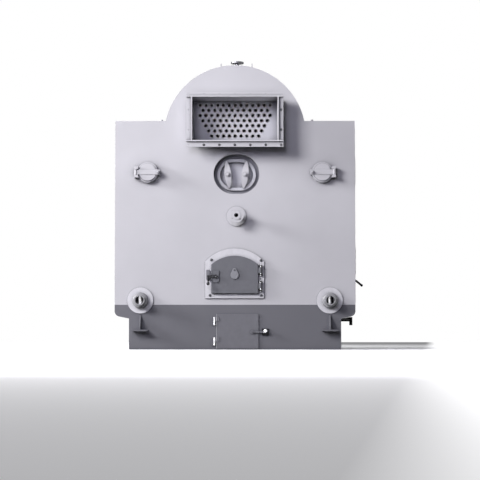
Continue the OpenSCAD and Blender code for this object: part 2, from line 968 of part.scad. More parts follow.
// A clamping bridge: a spindle from the front, an arch from the side, with its stud and nut
module manhole_dog() {
    spindle_l = 1.1 * dog_l;
    spindle_r = (spindle_l * spindle_l + dog_w * dog_w) / (4 * dog_w);
    bow_l = dog_l - dog_t;
    bow_r = (bow_l * bow_l / 4 + dog_rise * dog_rise) / (2 * dog_rise);
    stud_back_y = inner_front_y + tube_sheet_t - manhole_ring_y;
    intersection() {
        plate(0, dog_rise + dog_t)
            intersection() {
                translate([spindle_r - dog_w / 2, 0])
                    circle(r = spindle_r, $fn = 128);
                translate([dog_w / 2 - spindle_r, 0])
                    circle(r = spindle_r, $fn = 128);
                square([dog_w, dog_l], center = true);
            }
        translate([-dog_w / 2, 0, 0])
            rotate([90, 0, 90])
                linear_extrude(dog_w)
                    difference() {
                        translate([bow_r - dog_rise - dog_t, 0])
                            circle(r = bow_r, $fn = 128);
                        translate([bow_r - dog_rise, 0])
                            circle(r = bow_r, $fn = 128);
                    }
    }
    rod_y(0, 0, -dog_rise - dog_t - dog_nut_t - dog_nut_sunk, stud_back_y, dog_stud_d);
    plate(dog_nut_sunk - dog_rise - dog_t, dog_nut_t)
        circle(d = 1.75 * dog_stud_d, $fn = 6);
}

module manhole_dogs() {
    color(light_paint)
        for (side = [-1, 1])
            translate([fittings_x + side * dog_spacing / 2, manhole_ring_y, manhole_z])
                rotate([0, side * dog_lean, 0])
                    manhole_dog();
}

module at_flue_holes() {
    for (i = [-3:3], z = [flue_hole_low_z, flue_hole_top_z])
        translate([i * flue_hole_pitch, z])
            children();
    for (side = [-1, 1], rise = [flue_side_hole_low, flue_side_hole_high])
        translate([side * flue_hole_x, flue_hole_low_z + rise])
            children();
}

module flue_clear_outline() {
    field(-flue_w / 2, flue_w / 2, flue_z, flue_z + flue_h);
}

// The duct with its flange, and the two lips that run over the flange's whole width
module flue_frame() {
    color(light_paint) {
        along_y(flue_front_y, inner_front_y)
            difference() {
                field(-flue_half, flue_half, flue_low_z, flue_top_z);
                flue_clear_outline();
            }
        plate(flue_flange_y + flue_flange_t, flue_flange_t)
            difference() {
                field(-flange_half, flange_half, flange_low_z, flange_top_z);
                flue_clear_outline();
                at_flue_holes()
                    circle(d = flue_hole_d, $fn = 24);
            }
        along_y(flue_front_y, flue_flange_y + eps)
            difference() {
                field(-flange_half, flange_half, flue_low_z, flue_top_z);
                field(-flange_half - 1, flange_half + 1, flue_z, flue_z + flue_h);
            }
    }
}

// One tube from the top of its header up to a bend and level to the side of the drum
module wall_tube() {
    bend_z = drum_z - wall_tube_bend_r;
    bend_x = header_x - wall_tube_bend_r;
    low_z = header_z + header_r + seat_gap;
    translate([header_x, 0, low_z])
        cylinder(d = wall_tube_d, h = bend_z - low_z, $fn = 24);
    translate([bend_x, 0, bend_z])
        rotate([90, 0, 0])
            rotate_extrude(angle = 90, $fn = 96)
                translate([wall_tube_bend_r, 0])
                    circle(d = wall_tube_d, $fn = 24);
    translate([bend_x, 0, drum_z])
        rotate([0, -90, 0])
            cylinder(d = wall_tube_d, h = bend_x - drum_r - seat_gap, $fn = 24);
}

module water_walls() {
    color(dark_paint)
        both_sides()
            for (i = [0:wall_tube_count - 1])
                translate([0, inner_front_y + wall_tube_d + i * wall_tube_pitch, 0])
                    wall_tube();
}

// Header profile: radius outwards, length upwards from the end of its stub
module header_profile() {
    shoulder_r = header_r - stub_d / 2;
    shoulder_at = stub_l + shoulder_r;
    total = header_l();
    difference() {
        union() {
            square([stub_d / 2, total]);
            translate([0, shoulder_at])
                square([header_r, total - shoulder_at]);
            intersection() {
                translate([stub_d / 2, shoulder_at])
                    circle(r = shoulder_r);
                translate([stub_d / 2, stub_l])
                    square(shoulder_r + 1);
            }
        }
        translate([-1, -1])
            square([stub_bore_d / 2 + 1, total + 2]);
        translate([-1, shoulder_at + header_wall])
            square([header_r - header_wall + 1, total - shoulder_at - 2 * header_wall]);
    }
    translate([0, total - header_wall])
        square([header_r, header_wall]);
}

function header_front_y() = front_y - header_proud - (header_r - stub_d / 2) - stub_l;
function header_l() = inner_rear_y - header_front_y();

module header_right() {
    color(bare_steel)
        translate([header_x, header_front_y(), header_z])
            rotate([-90, 0, 0])
                rotate_extrude()
                    header_profile();
    color(light_paint)
        plate(front_y, disc_t)
            translate([header_x, header_z])
                difference() {
                    circle(d = header_disc_d);
                    circle(r = header_r - eps);
                }
}

module header_left() {
    mirror([1, 0, 0])
        header_right();
}

module support_feet() {
    rib_top_z = header_z - header_disc_d / 2 - rib_gap;
    color(dark_paint)
        both_sides() {
            translate([header_x - foot_w / 2, front_y - foot_proud, foot_z])
                cube([foot_w, foot_proud, foot_t]);
            translate([header_x + foot_t / 2, front_y, 0])
                rotate([90, 0, -90])
                    linear_extrude(foot_t)
                        polygon([
                            [0, foot_z + foot_t - eps],
                            [foot_proud - foot_t, foot_z + foot_t - eps],
                            [foot_proud - foot_t, foot_z + 3 * foot_t],
                            [foot_t, rib_top_z],
                            [0, rib_top_z]
                        ]);
        }
}

module grate() {
    bar_l = inner_rear_y - inner_front_y;
    first_x = -(grate_bars - 1) * grate_pitch / 2 - grate_bar_w / 2;
    color(black_paint) {
        for (i = [0:grate_bars - 1])
            translate([first_x + i * grate_pitch, inner_front_y, grate_z - grate_bar_h])
                cube([grate_bar_w, bar_l, grate_bar_h]);
        for (part = [0:4])
            translate([
                -grate_w / 2,
                inner_front_y + part * (bar_l - bearer_w) / 4,
                grate_z - 2 * grate_bar_h
            ])
                cube([grate_w, bearer_w, grate_bar_h + 1]);
    }
}

// A round flange with its raised face, its sealing face at the top and its holes between the axes
module round_flange(d, bore_d, pcd) {
    difference() {
        union() {
            translate([0, 0, -raised_face_h - flange_t])
                cylinder(d = d, h = flange_t);
            translate([0, 0, -raised_face_h - eps])
                cylinder(d = min(raised_face_d, pcd - flange_hole_d - face_gap), h = raised_face_h + eps);
        }
        translate([0, 0, -raised_face_h - flange_t - 1])
            cylinder(d = bore_d, h = flange_t + raised_face_h + 2);
        for (a = [45:90:315])
            rotate([0, 0, a])
                translate([pcd / 2, 0, -raised_face_h - flange_t - 1])
                    cylinder(d = flange_hole_d, h = flange_t + raised_face_h + 2, $fn = 32);
    }
}

module pipe_to(l, d, bore_d) {
    translate([0, 0, -l])
        difference() {
            cylinder(d = d, h = l - raised_face_h);
            translate([0, 0, -1])
                cylinder(d = bore_d, h = l + 2);
        }
}

module feed_nozzle() {
    color(light_paint)
        translate([fittings_x, front_y - feed_proud, feed_z])
            rotate([90, 0, 0]) {
                round_flange(feed_flange_d, feed_bore_d, feed_pcd);
                pipe_to(feed_proud + wall_t, feed_pipe_d, feed_bore_d);
                translate([0, 0, -feed_proud])
                    difference() {
                        cylinder(d = feed_disc_d, h = disc_t);
                        translate([0, 0, -1])
                            cylinder(d = feed_pipe_d - eps, h = disc_t + 2);
                    }
            }
}

module top_nozzle() {
    top_z = drum_z + jacket_r + top_nozzle_h;
    color(bare_steel)
        translate([fittings_x, front_y + top_nozzle_y, top_z]) {
            round_flange(top_flange_d, top_bore_d, top_pcd);
            pipe_to(top_z - drum_z - drum_r - seat_gap, top_pipe_d, top_bore_d);
        }
}

module lifting_lugs() {
    top_z = drum_z + jacket_r + lug_h;
    color(light_paint)
        for (end_y = [front_y + lug_y, rear_y - lug_y], side = [-1, 1])
            difference() {
                translate([fittings_x + side * lug_spacing / 2 - lug_t / 2, end_y, 0])
                    rotate([90, 0, 90])
                        linear_extrude(lug_t)
                            difference() {
                                union() {
                                    translate([0, top_z - lug_l / 3])
                                        circle(r = lug_l / 3);
                                    polygon([
                                        [-lug_l / 2, drum_z + jacket_r - lug_l / 2],
                                        [lug_l / 2, drum_z + jacket_r - lug_l / 2],
                                        [lug_l / 3, top_z - lug_l / 3],
                                        [-lug_l / 3, top_z - lug_l / 3]
                                    ]);
                                }
                                translate([0, top_z - lug_l / 3])
                                    circle(d = lug_eye_d);
                            }
                rod_y(0, drum_z, front_y, rear_y, 2 * (jacket_r + seat_gap));
            }
}

// A neck with its hinge lugs on the outer side and its nut's ear on the inner side
module inspection_neck() {
    lug_t_z = (lid_lug_h - strap_h) / 2 - eye_gap;
    lug_root_x = neck_bore_d / 2 + neck_lug_root;
    lug_block_t = lug_t_z - door_gap + eye_gap;
    lug_front_y = lid_pin_y - hinge_eye_d / 2;
    color(light_paint)
        translate([neck_x, 0, neck_z]) {
            along_y(neck_front_y, inner_front_y)
                difference() {
                    circle(d = neck_d);
                    circle(d = neck_bore_d);
                }
            for (side = [-1, 1])
                translate([0, 0, side * (lid_lug_h - lug_t_z) / 2 - lug_t_z / 2]) {
                    translate([lid_pin_x, lid_pin_y, 0])
                        cylinder(d = hinge_eye_d, h = lug_t_z);
                    translate([lid_pin_x - hinge_eye_d / 2, lid_pin_y, 0])
                        cube([hinge_eye_d, front_y - lid_pin_y, lug_t_z]);
                    translate([lug_root_x, neck_front_y, 0])
                        cube([lid_pin_x - lug_root_x, neck_proud, lug_t_z]);
                    translate([lid_pin_x - lug_reach, lug_front_y, side > 0 ? door_gap - eye_gap : 0])
                        cube([lug_reach + hinge_eye_d / 2, front_y - lug_front_y, lug_block_t]);
                }
            translate([lid_pin_x, lid_pin_y, -lid_lug_h / 2 - pin_end])
                cylinder(d = hinge_pin_d, h = lid_lug_h + 2 * pin_end);
            translate([-lid_nut_x - 2 * ear_w / 3, neck_front_y, -strap_h / 2])
                cube([ear_w, neck_proud, strap_h]);
        }
}

module inspection_neck_left() {
    mirror([1, 0, 0])
        inspection_neck();
}

module inspection_neck_right() {
    inspection_neck();
}

// The round cover with its strap, hinge eye and clamping nut
module round_lid() {
    color(light_paint)
        translate([neck_x, 0, neck_z])
            difference() {
                union() {
                    plate(lid_back_y, lid_t)
                        circle(d = lid_d);
                    plate(lid_front_y + eps, strap_t + eps)
                        field(-lid_nut_x - 0.6 * lid_nut_d, lid_pin_x, -strap_h / 2, strap_h / 2);
                    translate([lid_pin_x, lid_pin_y, -strap_h / 2])
                        cylinder(d = moving_eye_d, h = strap_h);
                    plate(lid_front_y - strap_t, lid_nut_t)
                        translate([-lid_nut_x, 0])
                            circle(d = lid_nut_d, $fn = 6);
                    rod_y(-lid_nut_x, 0, lid_front_y - strap_t - 2 * lid_nut_t, lid_back_y, lid_stud_d);
                }
                translate([lid_pin_x, lid_pin_y, -strap_h])
                    cylinder(d = hinge_pin_d + 2 * pin_gap, h = 2 * strap_h);
            }
}

module right_lid() {
    round_lid();
}

module left_lid() {
    mirror([1, 0, 0])
        round_lid();
}

module at_fire_hinges() {
    for (z = [leaf_low_z + fire_hinge_low, leaf_low_z + fire_hinge_high])
        translate([fire_pin_at_x, fire_pin_y, z])
            children();
}

// The two fixed lugs of one hinge and their pin, on the frame's face
module fixed_hinge() {
    for (side = [-1, 1])
        translate([0, 0, side * (fire_hinge_h - hinge_lug_h) / 2 - hinge_lug_h / 2]) {
            cylinder(d = hinge_eye_d, h = hinge_lug_h);
            translate([-hinge_eye_d / 2, 0, 0])
                cube([hinge_eye_d, front_y - frame_t - fire_pin_y, hinge_lug_h]);
        }
    translate([0, 0, -fire_hinge_h / 2 - pin_end])
        cylinder(d = hinge_pin_d, h = fire_hinge_h + 2 * pin_end);
}

// The shelf on the frame that carries the closed latch's arm
module latch_rest() {
    shelf_low_z = latch_z - latch_arm_h / 2 - door_gap - shelf_t;
    shelf_y = latch_back_y - latch_arm_t / 3;
    translate([latch_x - latch_arm_l, 0, 0]) {
        plate(front_y - frame_t, rest_t)
            field(-0.6 * rest_w, 0.4 * rest_w, shelf_low_z, latch_z + rest_h);
        translate([-0.6 * shelf_w, shelf_y, shelf_low_z])
            cube([shelf_w, front_y - frame_t - shelf_y, shelf_t]);
    }
}

module fire_door_frame() {
    color(light_paint) {
        plate(front_y, frame_t)
            difference() {
                translate([fire_door_x, 0])
                    arch(frame_w / 2, frame_low_z, frame_side_h, frame_rise);
                translate([fire_door_x, 0])
                    arch(mouth_half, mouth_low_z, mouth_side_h, mouth_rise);
            }
        plate(inner_front_y, wall_t)
            translate([fire_door_x, 0])
                difference() {
                    arch(
                        mouth_half + throat_t,
                        mouth_low_z - throat_t,
                        mouth_side_h + throat_t,
                        mouth_rise + throat_t
                    );
                    arch(mouth_half, mouth_low_z, mouth_side_h, mouth_rise);
                }
    }
    color(black_paint) {
        at_fire_hinges()
            fixed_hinge();
        latch_rest();
    }
}

module moving_knuckle() {
    knuckle_h = fire_hinge_h - 2 * hinge_lug_h - 2 * eye_gap;
    translate([0, 0, -knuckle_h / 2]) {
        cylinder(d = moving_eye_d, h = knuckle_h);
        translate([-fire_pin_x - strap_root, -hinge_eye_d / 4, 0])
            cube([fire_pin_x + strap_root, hinge_eye_d / 2, knuckle_h]);
    }
}

module fire_door() {
    color(dark_paint)
        difference() {
            union() {
                plate(leaf_back_y, leaf_t)
                    translate([fire_door_x, 0])
                        arch(leaf_w / 2, leaf_low_z, leaf_side_h, leaf_rise);
                at_fire_hinges()
                    moving_knuckle();
                plate(leaf_front_y + eps, latch_plate_t + eps)
                    translate([latch_x, latch_z])
                        square([latch_plate_w, latch_plate_h], center = true);
                rod_y(latch_x, latch_z, latch_pin_y, leaf_front_y, pivot_pin_d);
                rod_y(latch_x, latch_z, latch_back_y + seat_gap, leaf_front_y, 2 * pivot_pin_d);
                rod_y(fire_door_x, peep_pivot_z, peep_pin_y, leaf_front_y, pivot_pin_d);
                rod_y(fire_door_x, peep_pivot_z, peep_back_y + seat_gap, leaf_front_y, 2 * pivot_pin_d);
            }
            at_fire_hinges()
                translate([0, 0, -fire_hinge_h])
                    cylinder(d = hinge_pin_d + 2 * pin_gap, h = 2 * fire_hinge_h);
            rod_y(fire_door_x, peep_z, leaf_front_y - 1, leaf_back_y + 1, peephole_d);
        }
}

module peephole_cover() {
    lean = asin((peep_cover_d - peep_top_d) / (2 * peep_arm));
    low_r = peep_cover_d / 2;
    top_r = peep_top_d / 2;
    color(dark_paint)
        plate(peep_back_y, peep_cover_t)
            difference() {
                union() {
                    translate([fire_door_x, peep_z])
                        circle(d = peep_cover_d);
                    translate([fire_door_x, peep_pivot_z])
                        circle(d = peep_top_d);
                    translate([fire_door_x, peep_z])
                        polygon([
                            [-low_r * cos(lean), low_r * sin(lean)],
                            [low_r * cos(lean), low_r * sin(lean)],
                            [top_r * cos(lean), peep_arm + top_r * sin(lean)],
                            [-top_r * cos(lean), peep_arm + top_r * sin(lean)]
                        ]);
                }
                translate([fire_door_x, peep_pivot_z])
                    circle(d = pivot_pin_d + 2 * pin_gap);
            }
}

module fire_latch() {
    arm_mid_y = latch_back_y - latch_arm_t / 2;
    color(black_paint)
        difference() {
            union() {
                plate(latch_back_y, latch_arm_t) {
                    translate([latch_x, latch_z])
                        circle(d = latch_eye_d);
                    translate([latch_x - latch_arm_l, latch_z - latch_arm_h / 2])
                        square([latch_arm_l, latch_arm_h]);
                    translate([latch_x - latch_arm_l, latch_z])
                        circle(d = latch_arm_h);
                }
                translate([latch_x - latch_arm_l, arm_mid_y, latch_z])
                    rotate([-45, 0, 0]) {
                        translate([0, 0, -latch_handle_l])
                            cylinder(d = latch_handle_d, h = latch_handle_l);
                        translate([0, 0, -latch_handle_l])
                            sphere(d = latch_ball_d);
                    }
            }
            rod_y(latch_x, latch_z, latch_pin_y, latch_back_y + 1, pivot_pin_d + 2 * pin_gap);
        }
}

module at_ash_hinges() {
    for (z = [ash_low_z + ash_hinge_low, ash_low_z + ash_hinge_high])
        translate([ash_pin_at_x, ash_pin_y, z])
            children();
}

// The fixed lower half of each barrel with its pin, on a leaf screwed to the skirt, and the latch's catch
module ash_door_hinges() {
    barrel_half = ash_barrel_h / 2;
    shelf_z = ash_latch_z - ash_bar_h / 2 - door_gap - ash_shelf_t;
    shelf_y = ash_latch_back_y - latch_arm_t;
    catch_x = ash_pivot_x + ash_latch_l - catch_w / 2;
    color(bare_steel)
        at_ash_hinges() {
            translate([0, 0, -barrel_half])
                cylinder(d = ash_barrel_d, h = barrel_half - eye_gap);
            cylinder(d = ash_barrel_d / 2, h = 0.95 * ash_barrel_h, center = true);
            translate([-ash_barrel_d / 2 - ash_hinge_leaf, 0, -barrel_half])
                cube([ash_barrel_d / 2 + ash_hinge_leaf, front_y - ash_pin_y, barrel_half - eye_gap]);
        }
    color(black_paint) {
        plate(front_y, catch_t)
            field(catch_x, catch_x + catch_w, ash_latch_z - catch_h / 2, ash_latch_z + catch_h / 2);
        translate([catch_x, shelf_y, shelf_z])
            cube([ash_shelf_w, front_y - catch_t - seat_gap - shelf_y, ash_shelf_t]);
    }
}

module ash_door() {
    barrel_half = ash_barrel_h / 2;
    color(dark_paint)
        difference() {
            union() {
                plate(ash_back_y, ash_leaf_t)
                    field(ash_left_x, ash_right_x, ash_low_z, ash_top_z);
                at_ash_hinges() {
                    cylinder(d = ash_barrel_d, h = barrel_half);
                    translate([0, -ash_leaf_t / 2, 0])
                        cube([ash_pin_x + ash_strap_l, 3 * ash_leaf_t / 4 + pin_out, barrel_half]);
                }
                rod_y(ash_pivot_x, ash_latch_z, ash_pivot_y, ash_front_y, pivot_pin_d);
                rod_y(ash_pivot_x, ash_latch_z, ash_front_y - ash_boss_t, ash_front_y, ash_boss_d);
            }
            at_ash_hinges()
                translate([0, 0, -ash_barrel_h])
                    cylinder(d = ash_barrel_d / 2 + 2 * pin_gap, h = 2 * ash_barrel_h);
        }
}

module ash_latch() {
    ball_y = ash_latch_back_y - latch_arm_t - ash_ball_d / 4;
    color(bare_steel)
        difference() {
            union() {
                plate(ash_latch_back_y, latch_arm_t) {
                    translate([ash_pivot_x, ash_latch_z])
                        circle(d = latch_eye_d);
                    translate([ash_pivot_x, ash_latch_z - ash_bar_h / 2])
                        square([ash_latch_l, ash_bar_h]);
                }
                translate([ash_pivot_x + ash_latch_l, ball_y, ash_latch_z + ash_ball_rise])
                    sphere(d = ash_ball_d);
            }
            rod_y(ash_pivot_x, ash_latch_z, ball_y, ash_latch_back_y + 1, pivot_pin_d + 2 * pin_gap);
        }
}

module damper_lever() {
    color(black_paint)
        translate([0, front_y + lever_y, lever_z]) {
            translate([half_w - lever_socket + pin_gap, 0, 0])
                rotate([0, 90, 0])
                    cylinder(d = lever_shaft_d, h = lever_socket - pin_gap + lever_elbow);
            translate([half_w + lever_elbow, 0, 0]) {
                sphere(d = lever_shaft_d);
                rotate([0, 90 + lever_slope, 0]) {
                    cylinder(d = latch_handle_d, h = lever_arm_l);
                    translate([0, 0, lever_arm_l])
                        sphere(d = lever_ball_d);
                }
            }
        }
}

module side_drain() {
    pipe_z = base_h - drain_drop;
    body_x = base_half + drain_l;
    body_top_z = underside_z + (drain_l - drain_body_d / 2) * tan(underside_slope) - drain_gap;
    color(black_paint)
        translate([0, front_y + drain_y, 0]) {
            translate([base_half, 0, pipe_z])
                rotate([0, 90, 0])
                    cylinder(d = drain_d, h = drain_l);
            translate([body_x, 0, body_top_z - drain_body_h])
                cylinder(d = drain_body_d, h = drain_body_h);
        }
}

front_skirt_left();
front_skirt_right();
front_skirt_lintel();
base_sides();
base_rear();
side_bands();
front_wall_left();
front_wall_right();
front_wall_middle();
front_wall_upper();
front_head();
side_wall_left();
side_wall_right();
side_pans();
top_decks();
drum_jacket();
rear_wall();
drum_shell();
tube_sheets();
fire_tubes();
manhole_ring();
manhole_cover();
manhole_dogs();
flue_frame();
water_walls();
header_left();
header_right();
support_feet();
grate();
feed_nozzle();
inspection_neck_left();
inspection_neck_right();
fire_door_frame();
ash_door_hinges();
top_nozzle();
lifting_lugs();
side_drain();
fire_door();
fire_latch();
peephole_cover();
ash_door();
ash_latch();
left_lid();
right_lid();
damper_lever();
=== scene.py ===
# %% [markdown]
# A steam boiler, dressed for its photograph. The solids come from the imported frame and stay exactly
# where they are. This lesson lights them, finds the camera, paints every sheet, casting and tube, and
# adds the small things that a solid model leaves out: bolt heads, weld beads, seam strips, jacket
# bands and the rope seal of the fire door. Everything is in metres: X runs to the right, Y away from
# the viewer and Z up, and the floor is at Z = 0.

# %% Load the frame
import math

import bpy
import bmesh
from mathutils import Matrix, Vector


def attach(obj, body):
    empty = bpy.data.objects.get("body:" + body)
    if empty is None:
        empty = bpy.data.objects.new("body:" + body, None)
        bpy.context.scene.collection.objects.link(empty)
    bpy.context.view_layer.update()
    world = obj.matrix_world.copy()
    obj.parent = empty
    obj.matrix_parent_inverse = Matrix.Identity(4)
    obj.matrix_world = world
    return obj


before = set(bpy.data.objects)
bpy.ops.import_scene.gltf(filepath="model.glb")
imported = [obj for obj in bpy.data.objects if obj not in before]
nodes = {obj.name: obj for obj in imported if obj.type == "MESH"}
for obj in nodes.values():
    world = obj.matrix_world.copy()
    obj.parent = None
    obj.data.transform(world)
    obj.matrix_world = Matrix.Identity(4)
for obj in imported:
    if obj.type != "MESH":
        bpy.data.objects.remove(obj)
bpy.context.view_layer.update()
scene = bpy.context.scene

# %% [markdown]
# The photograph is a front view taken from far away with a long lens, close to the floor and tilted up
# a little. Both edges of the casing lean in by a pixel over its height, which gives the tilt, and the
# floor's horizon gives the height of the lens. The camera is set from those numbers, so that every
# later measurement lands on the same pixel.

# %% Set the camera
front_y = -1.8
lens_distance = 16.6
camera_x, camera_z = 0.15, 0.104
tilt = math.radians(3.411)
turn = math.radians(0.346)

camera_data = bpy.data.cameras.new("front_camera")
camera_data.sensor_width = 36.0
camera_data.lens = 124.86
camera_data.clip_end = 100.0
camera = bpy.data.objects.new("front_camera", camera_data)
camera.location = (camera_x, front_y - lens_distance, camera_z)
camera.rotation_euler = (math.radians(90) + tilt, 0.0, turn)
scene.collection.objects.link(camera)
scene.camera = camera
print("camera at", [round(v, 3) for v in camera.location], "lens", camera_data.lens, "mm")

# %% [markdown]
# Materials, the sky and Geometry Nodes are all trees of nodes. One helper makes a node and fills its
# inputs, each with a link from a socket or with a plain value. A second one is short for arithmetic.

# %% Helpers for node trees
def step(tree, kind, inputs=(), **settings):
    """One node with its settings, and its inputs linked from sockets or set to values."""
    node = tree.nodes.new(kind)
    for label, value in settings.items():
        setattr(node, label, value)
    for socket, value in dict(inputs).items():
        target = node.inputs[socket]
        if isinstance(value, bpy.types.NodeSocket):
            tree.links.new(value, target)
        else:
            target.default_value = value
    return node


def calc(tree, operation, first, second=0.0):
    """The result of a math node."""
    return step(tree, "ShaderNodeMath", {0: first, 1: second}, operation=operation).outputs[0]


print("node helpers ready")

# %% [markdown]
# The picture's ground is plain white and keeps only a soft shadow. A white floor alone would turn grey
# where the light is weak, so the floor also glows, but only for rays that come from the camera, from
# gloss or through glass. Under the boiler and in a lane behind it and to its right the glow is weak,
# and there the shadow shows. The boiler gets no light from that glow, and the world behind it works in
# the same way.

# %% Floor and world
lane_left = 1.1
lane_across = (1.0, -0.107, 0.0)
lane_edge = (2.05, 2.3)
floor_reach = 40


def is_seen(tree):
    """A factor that is 1 for camera, glossy and transmission rays."""
    path = step(tree, "ShaderNodeLightPath").outputs
    seen = calc(tree, "MAXIMUM", path["Is Camera Ray"], path["Is Glossy Ray"])
    return calc(tree, "MAXIMUM", seen, path["Is Transmission Ray"])


def seen_or_not(tree, seen, unseen):
    """One shader for the rays that are seen and another for those that only carry light."""
    return step(tree, "ShaderNodeMixShader", {
        0: is_seen(tree), 1: unseen.outputs[0], 2: seen.outputs[0],
    }).outputs[0]


def studio_floor(name, colour, near_glow, far_glow, bounce):
    """A white that keeps the shadow in the lane, glows elsewhere, and sends little light back up."""
    material = bpy.data.materials.new(name)
    material.use_nodes = True
    tree = material.node_tree
    tree.nodes.clear()
    place = step(tree, "ShaderNodeTexCoord").outputs["Object"]
    split = step(tree, "ShaderNodeSeparateXYZ", {0: place})
    past_left = calc(tree, "SUBTRACT", lane_left, split.outputs["X"])
    past_right = step(tree, "ShaderNodeVectorMath", {
        0: place, 1: lane_across,
    }, operation="DOT_PRODUCT")
    glow = step(tree, "ShaderNodeMapRange", {
        "Value": calc(tree, "MAXIMUM", past_right.outputs["Value"], past_left),
        "From Min": lane_edge[0], "From Max": lane_edge[1],
        "To Min": near_glow, "To Max": far_glow,
    })
    matt = step(tree, "ShaderNodeBsdfDiffuse", {"Color": (*colour, 1)})
    light = step(tree, "ShaderNodeEmission", {"Strength": glow.outputs[0]})
    white = step(tree, "ShaderNodeAddShader", {0: matt.outputs[0], 1: light.outputs[0]})
    dull = step(tree, "ShaderNodeBsdfDiffuse", {"Color": (bounce, bounce, bounce, 1)})
    step(tree, "ShaderNodeOutputMaterial", {"Surface": seen_or_not(tree, white, dull)})
    return material


floor_signs = ((-1, -1), (1, -1), (1, 1), (-1, 1))
floor_corners = [(x * floor_reach, y * floor_reach, 0) for x, y in floor_signs]
floor_mesh = bpy.data.meshes.new("studio_floor")
floor_mesh.from_pydata(floor_corners, [], [(0, 1, 2, 3)])
floor_mesh.materials.append(studio_floor("studio_floor", (1.5, 1.5, 1.53), 0.16, 1.0, 0.03))
floor = bpy.data.objects.new("studio_floor", floor_mesh)
scene.collection.objects.link(floor)

world = bpy.data.worlds.new("studio")
world.use_nodes = True
scene.world = world
sky = world.node_tree
sky.nodes.clear()
sky_fill = step(sky, "ShaderNodeBackground", {"Color": (0.93, 0.94, 1.0, 1), "Strength": 0.02})
sky_white = step(sky, "ShaderNodeBackground", {"Color": (1, 1, 1, 1), "Strength": 1.0})
step(sky, "ShaderNodeOutputWorld", {"Surface": seen_or_not(sky, sky_white, sky_fill)})
scene.view_settings.view_transform = "Standard"
print("floor and world ready")

# %% [markdown]
# The light in the photograph comes from the upper left, in front of the boiler. Shadows start dark
# beside each fitting and fade over half a metre, so the source is a large softbox, and the front grows
# darker towards the right because that side is further from it. A second one stands further round to
# the left and grazes the front, a weak third fills the shadows from beside the camera, and the last
# two keep the back and the right side readable. The one at the right has a narrow spread, so it leaves
# the shadow on the floor alone.

# %% Five softboxes
def softbox(name, place, aim, size, watts, colour, spread=180):
    """A rectangular lamp at a place, turned to its aim; its spread is in degrees."""
    data = bpy.data.lights.new(name, "AREA")
    data.shape = "RECTANGLE"
    data.size, data.size_y = size
    data.energy = watts
    data.color = colour
    data.spread = math.radians(spread)
    lamp = bpy.data.objects.new(name, data)
    lamp.location = place
    lamp.rotation_euler = (Vector(aim) - Vector(place)).to_track_quat("-Z", "Y").to_euler()
    scene.collection.objects.link(lamp)
    return lamp


front_middle = (0.0, front_y, 1.6)
near_white, cool_white, blue_white = (1.0, 0.99, 1.0), (0.97, 0.98, 1.0), (0.92, 0.9, 1.1)
lamps = [
    softbox("key_light", (-6.6, -9.7, 5.6), front_middle, (4.5, 3.2), 1050, near_white),
    softbox("side_light", (-18.0, -5.9, 7.0), front_middle, (5.0, 4.5), 3200, (0.98, 0.98, 1.0)),
    softbox("front_light", (-1.5, -13.0, 4.0), front_middle, (3.0, 3.0), 262, blue_white),
    softbox("back_light", (-5.5, 8.5, 5.0), (0.0, 0.5, 1.3), (5.0, 4.0), 280, cool_white),
    softbox("right_light", (8.5, 0.2, 2.1), (1.2, 0.2, 1.6), (3.6, 1.6), 24, cool_white, 34),
]
print("lamps:", [(lamp.name, lamp.data.energy) for lamp in lamps])

# %% [markdown]
# Every finish starts the same way: a principled shader, the place on the object in metres, and a bump
# chain. The edge of a casting or a flange is never a perfect knife, so a small bevel in the shading
# rounds it and lets it catch the light. Wide sheets that meet flush get none, or their joints would
# show as lines that the photograph doesn't have.

# %% A workbench for finishes
def finish_tree(name, roughness, metallic=0.0, edge=0.0, specular=0.5):
    """A new material with its shader, the object's own coordinates and, where asked, round edges."""
    material = bpy.data.materials.new(name)
    material.use_nodes = True
    tree = material.node_tree
    shader = tree.nodes["Principled BSDF"]
    shader.inputs["Roughness"].default_value = roughness
    shader.inputs["Metallic"].default_value = metallic
    shader.inputs["Specular IOR Level"].default_value = specular
    place = step(tree, "ShaderNodeTexCoord").outputs["Object"]
    normal = step(tree, "ShaderNodeBevel", {"Radius": edge}, samples=4).outputs[0] if edge else None
    return {"material": material, "tree": tree, "shader": shader, "place": place, "normal": normal}


def grain(work, scale, detail=2.0, stretch=(1, 1, 1)):
    """A noise in object space, scale in waves per metre."""
    mapping = step(work["tree"], "ShaderNodeMapping", {"Vector": work["place"], "Scale": stretch})
    return step(work["tree"], "ShaderNodeTexNoise", {
        "Vector": mapping.outputs[0], "Scale": scale, "Detail": detail,
    }).outputs["Fac"]


def between(work, factor, low, high, start=0.3, stop=0.7):
    """A colour that runs from low to high as the factor runs from start to stop."""
    ramp = step(work["tree"], "ShaderNodeValToRGB", {0: factor})
    for index, (position, colour) in enumerate(((start, low), (stop, high))):
        ramp.color_ramp.elements[index].position = position
        ramp.color_ramp.elements[index].color = (*colour, 1)
    return ramp.outputs["Color"]


def blend(work, factor, first, second, mode="MIX"):
    """Two colours mixed by a factor, or multiplied."""
    return step(work["tree"], "ShaderNodeMix", {
        0: factor, 6: first, 7: second,
    }, data_type="RGBA", blend_type=mode).outputs[2]


def bump(work, height, distance, strength=1.0):
    """One more bump on top of those before it."""
    node = step(work["tree"], "ShaderNodeBump", {
        "Height": height, "Distance": distance, "Strength": strength,
    })
    if work["normal"]:
        work["tree"].links.new(work["normal"], node.inputs["Normal"])
    work["normal"] = node.outputs[0]


def varied_roughness(work, factor, low, high):
    """A roughness that wanders between two values."""
    span = step(work["tree"], "ShaderNodeMapRange", {
        "Value": factor, "From Min": 0.3, "From Max": 0.7, "To Min": low, "To Max": high,
    })
    work["tree"].links.new(span.outputs[0], work["shader"].inputs["Roughness"])


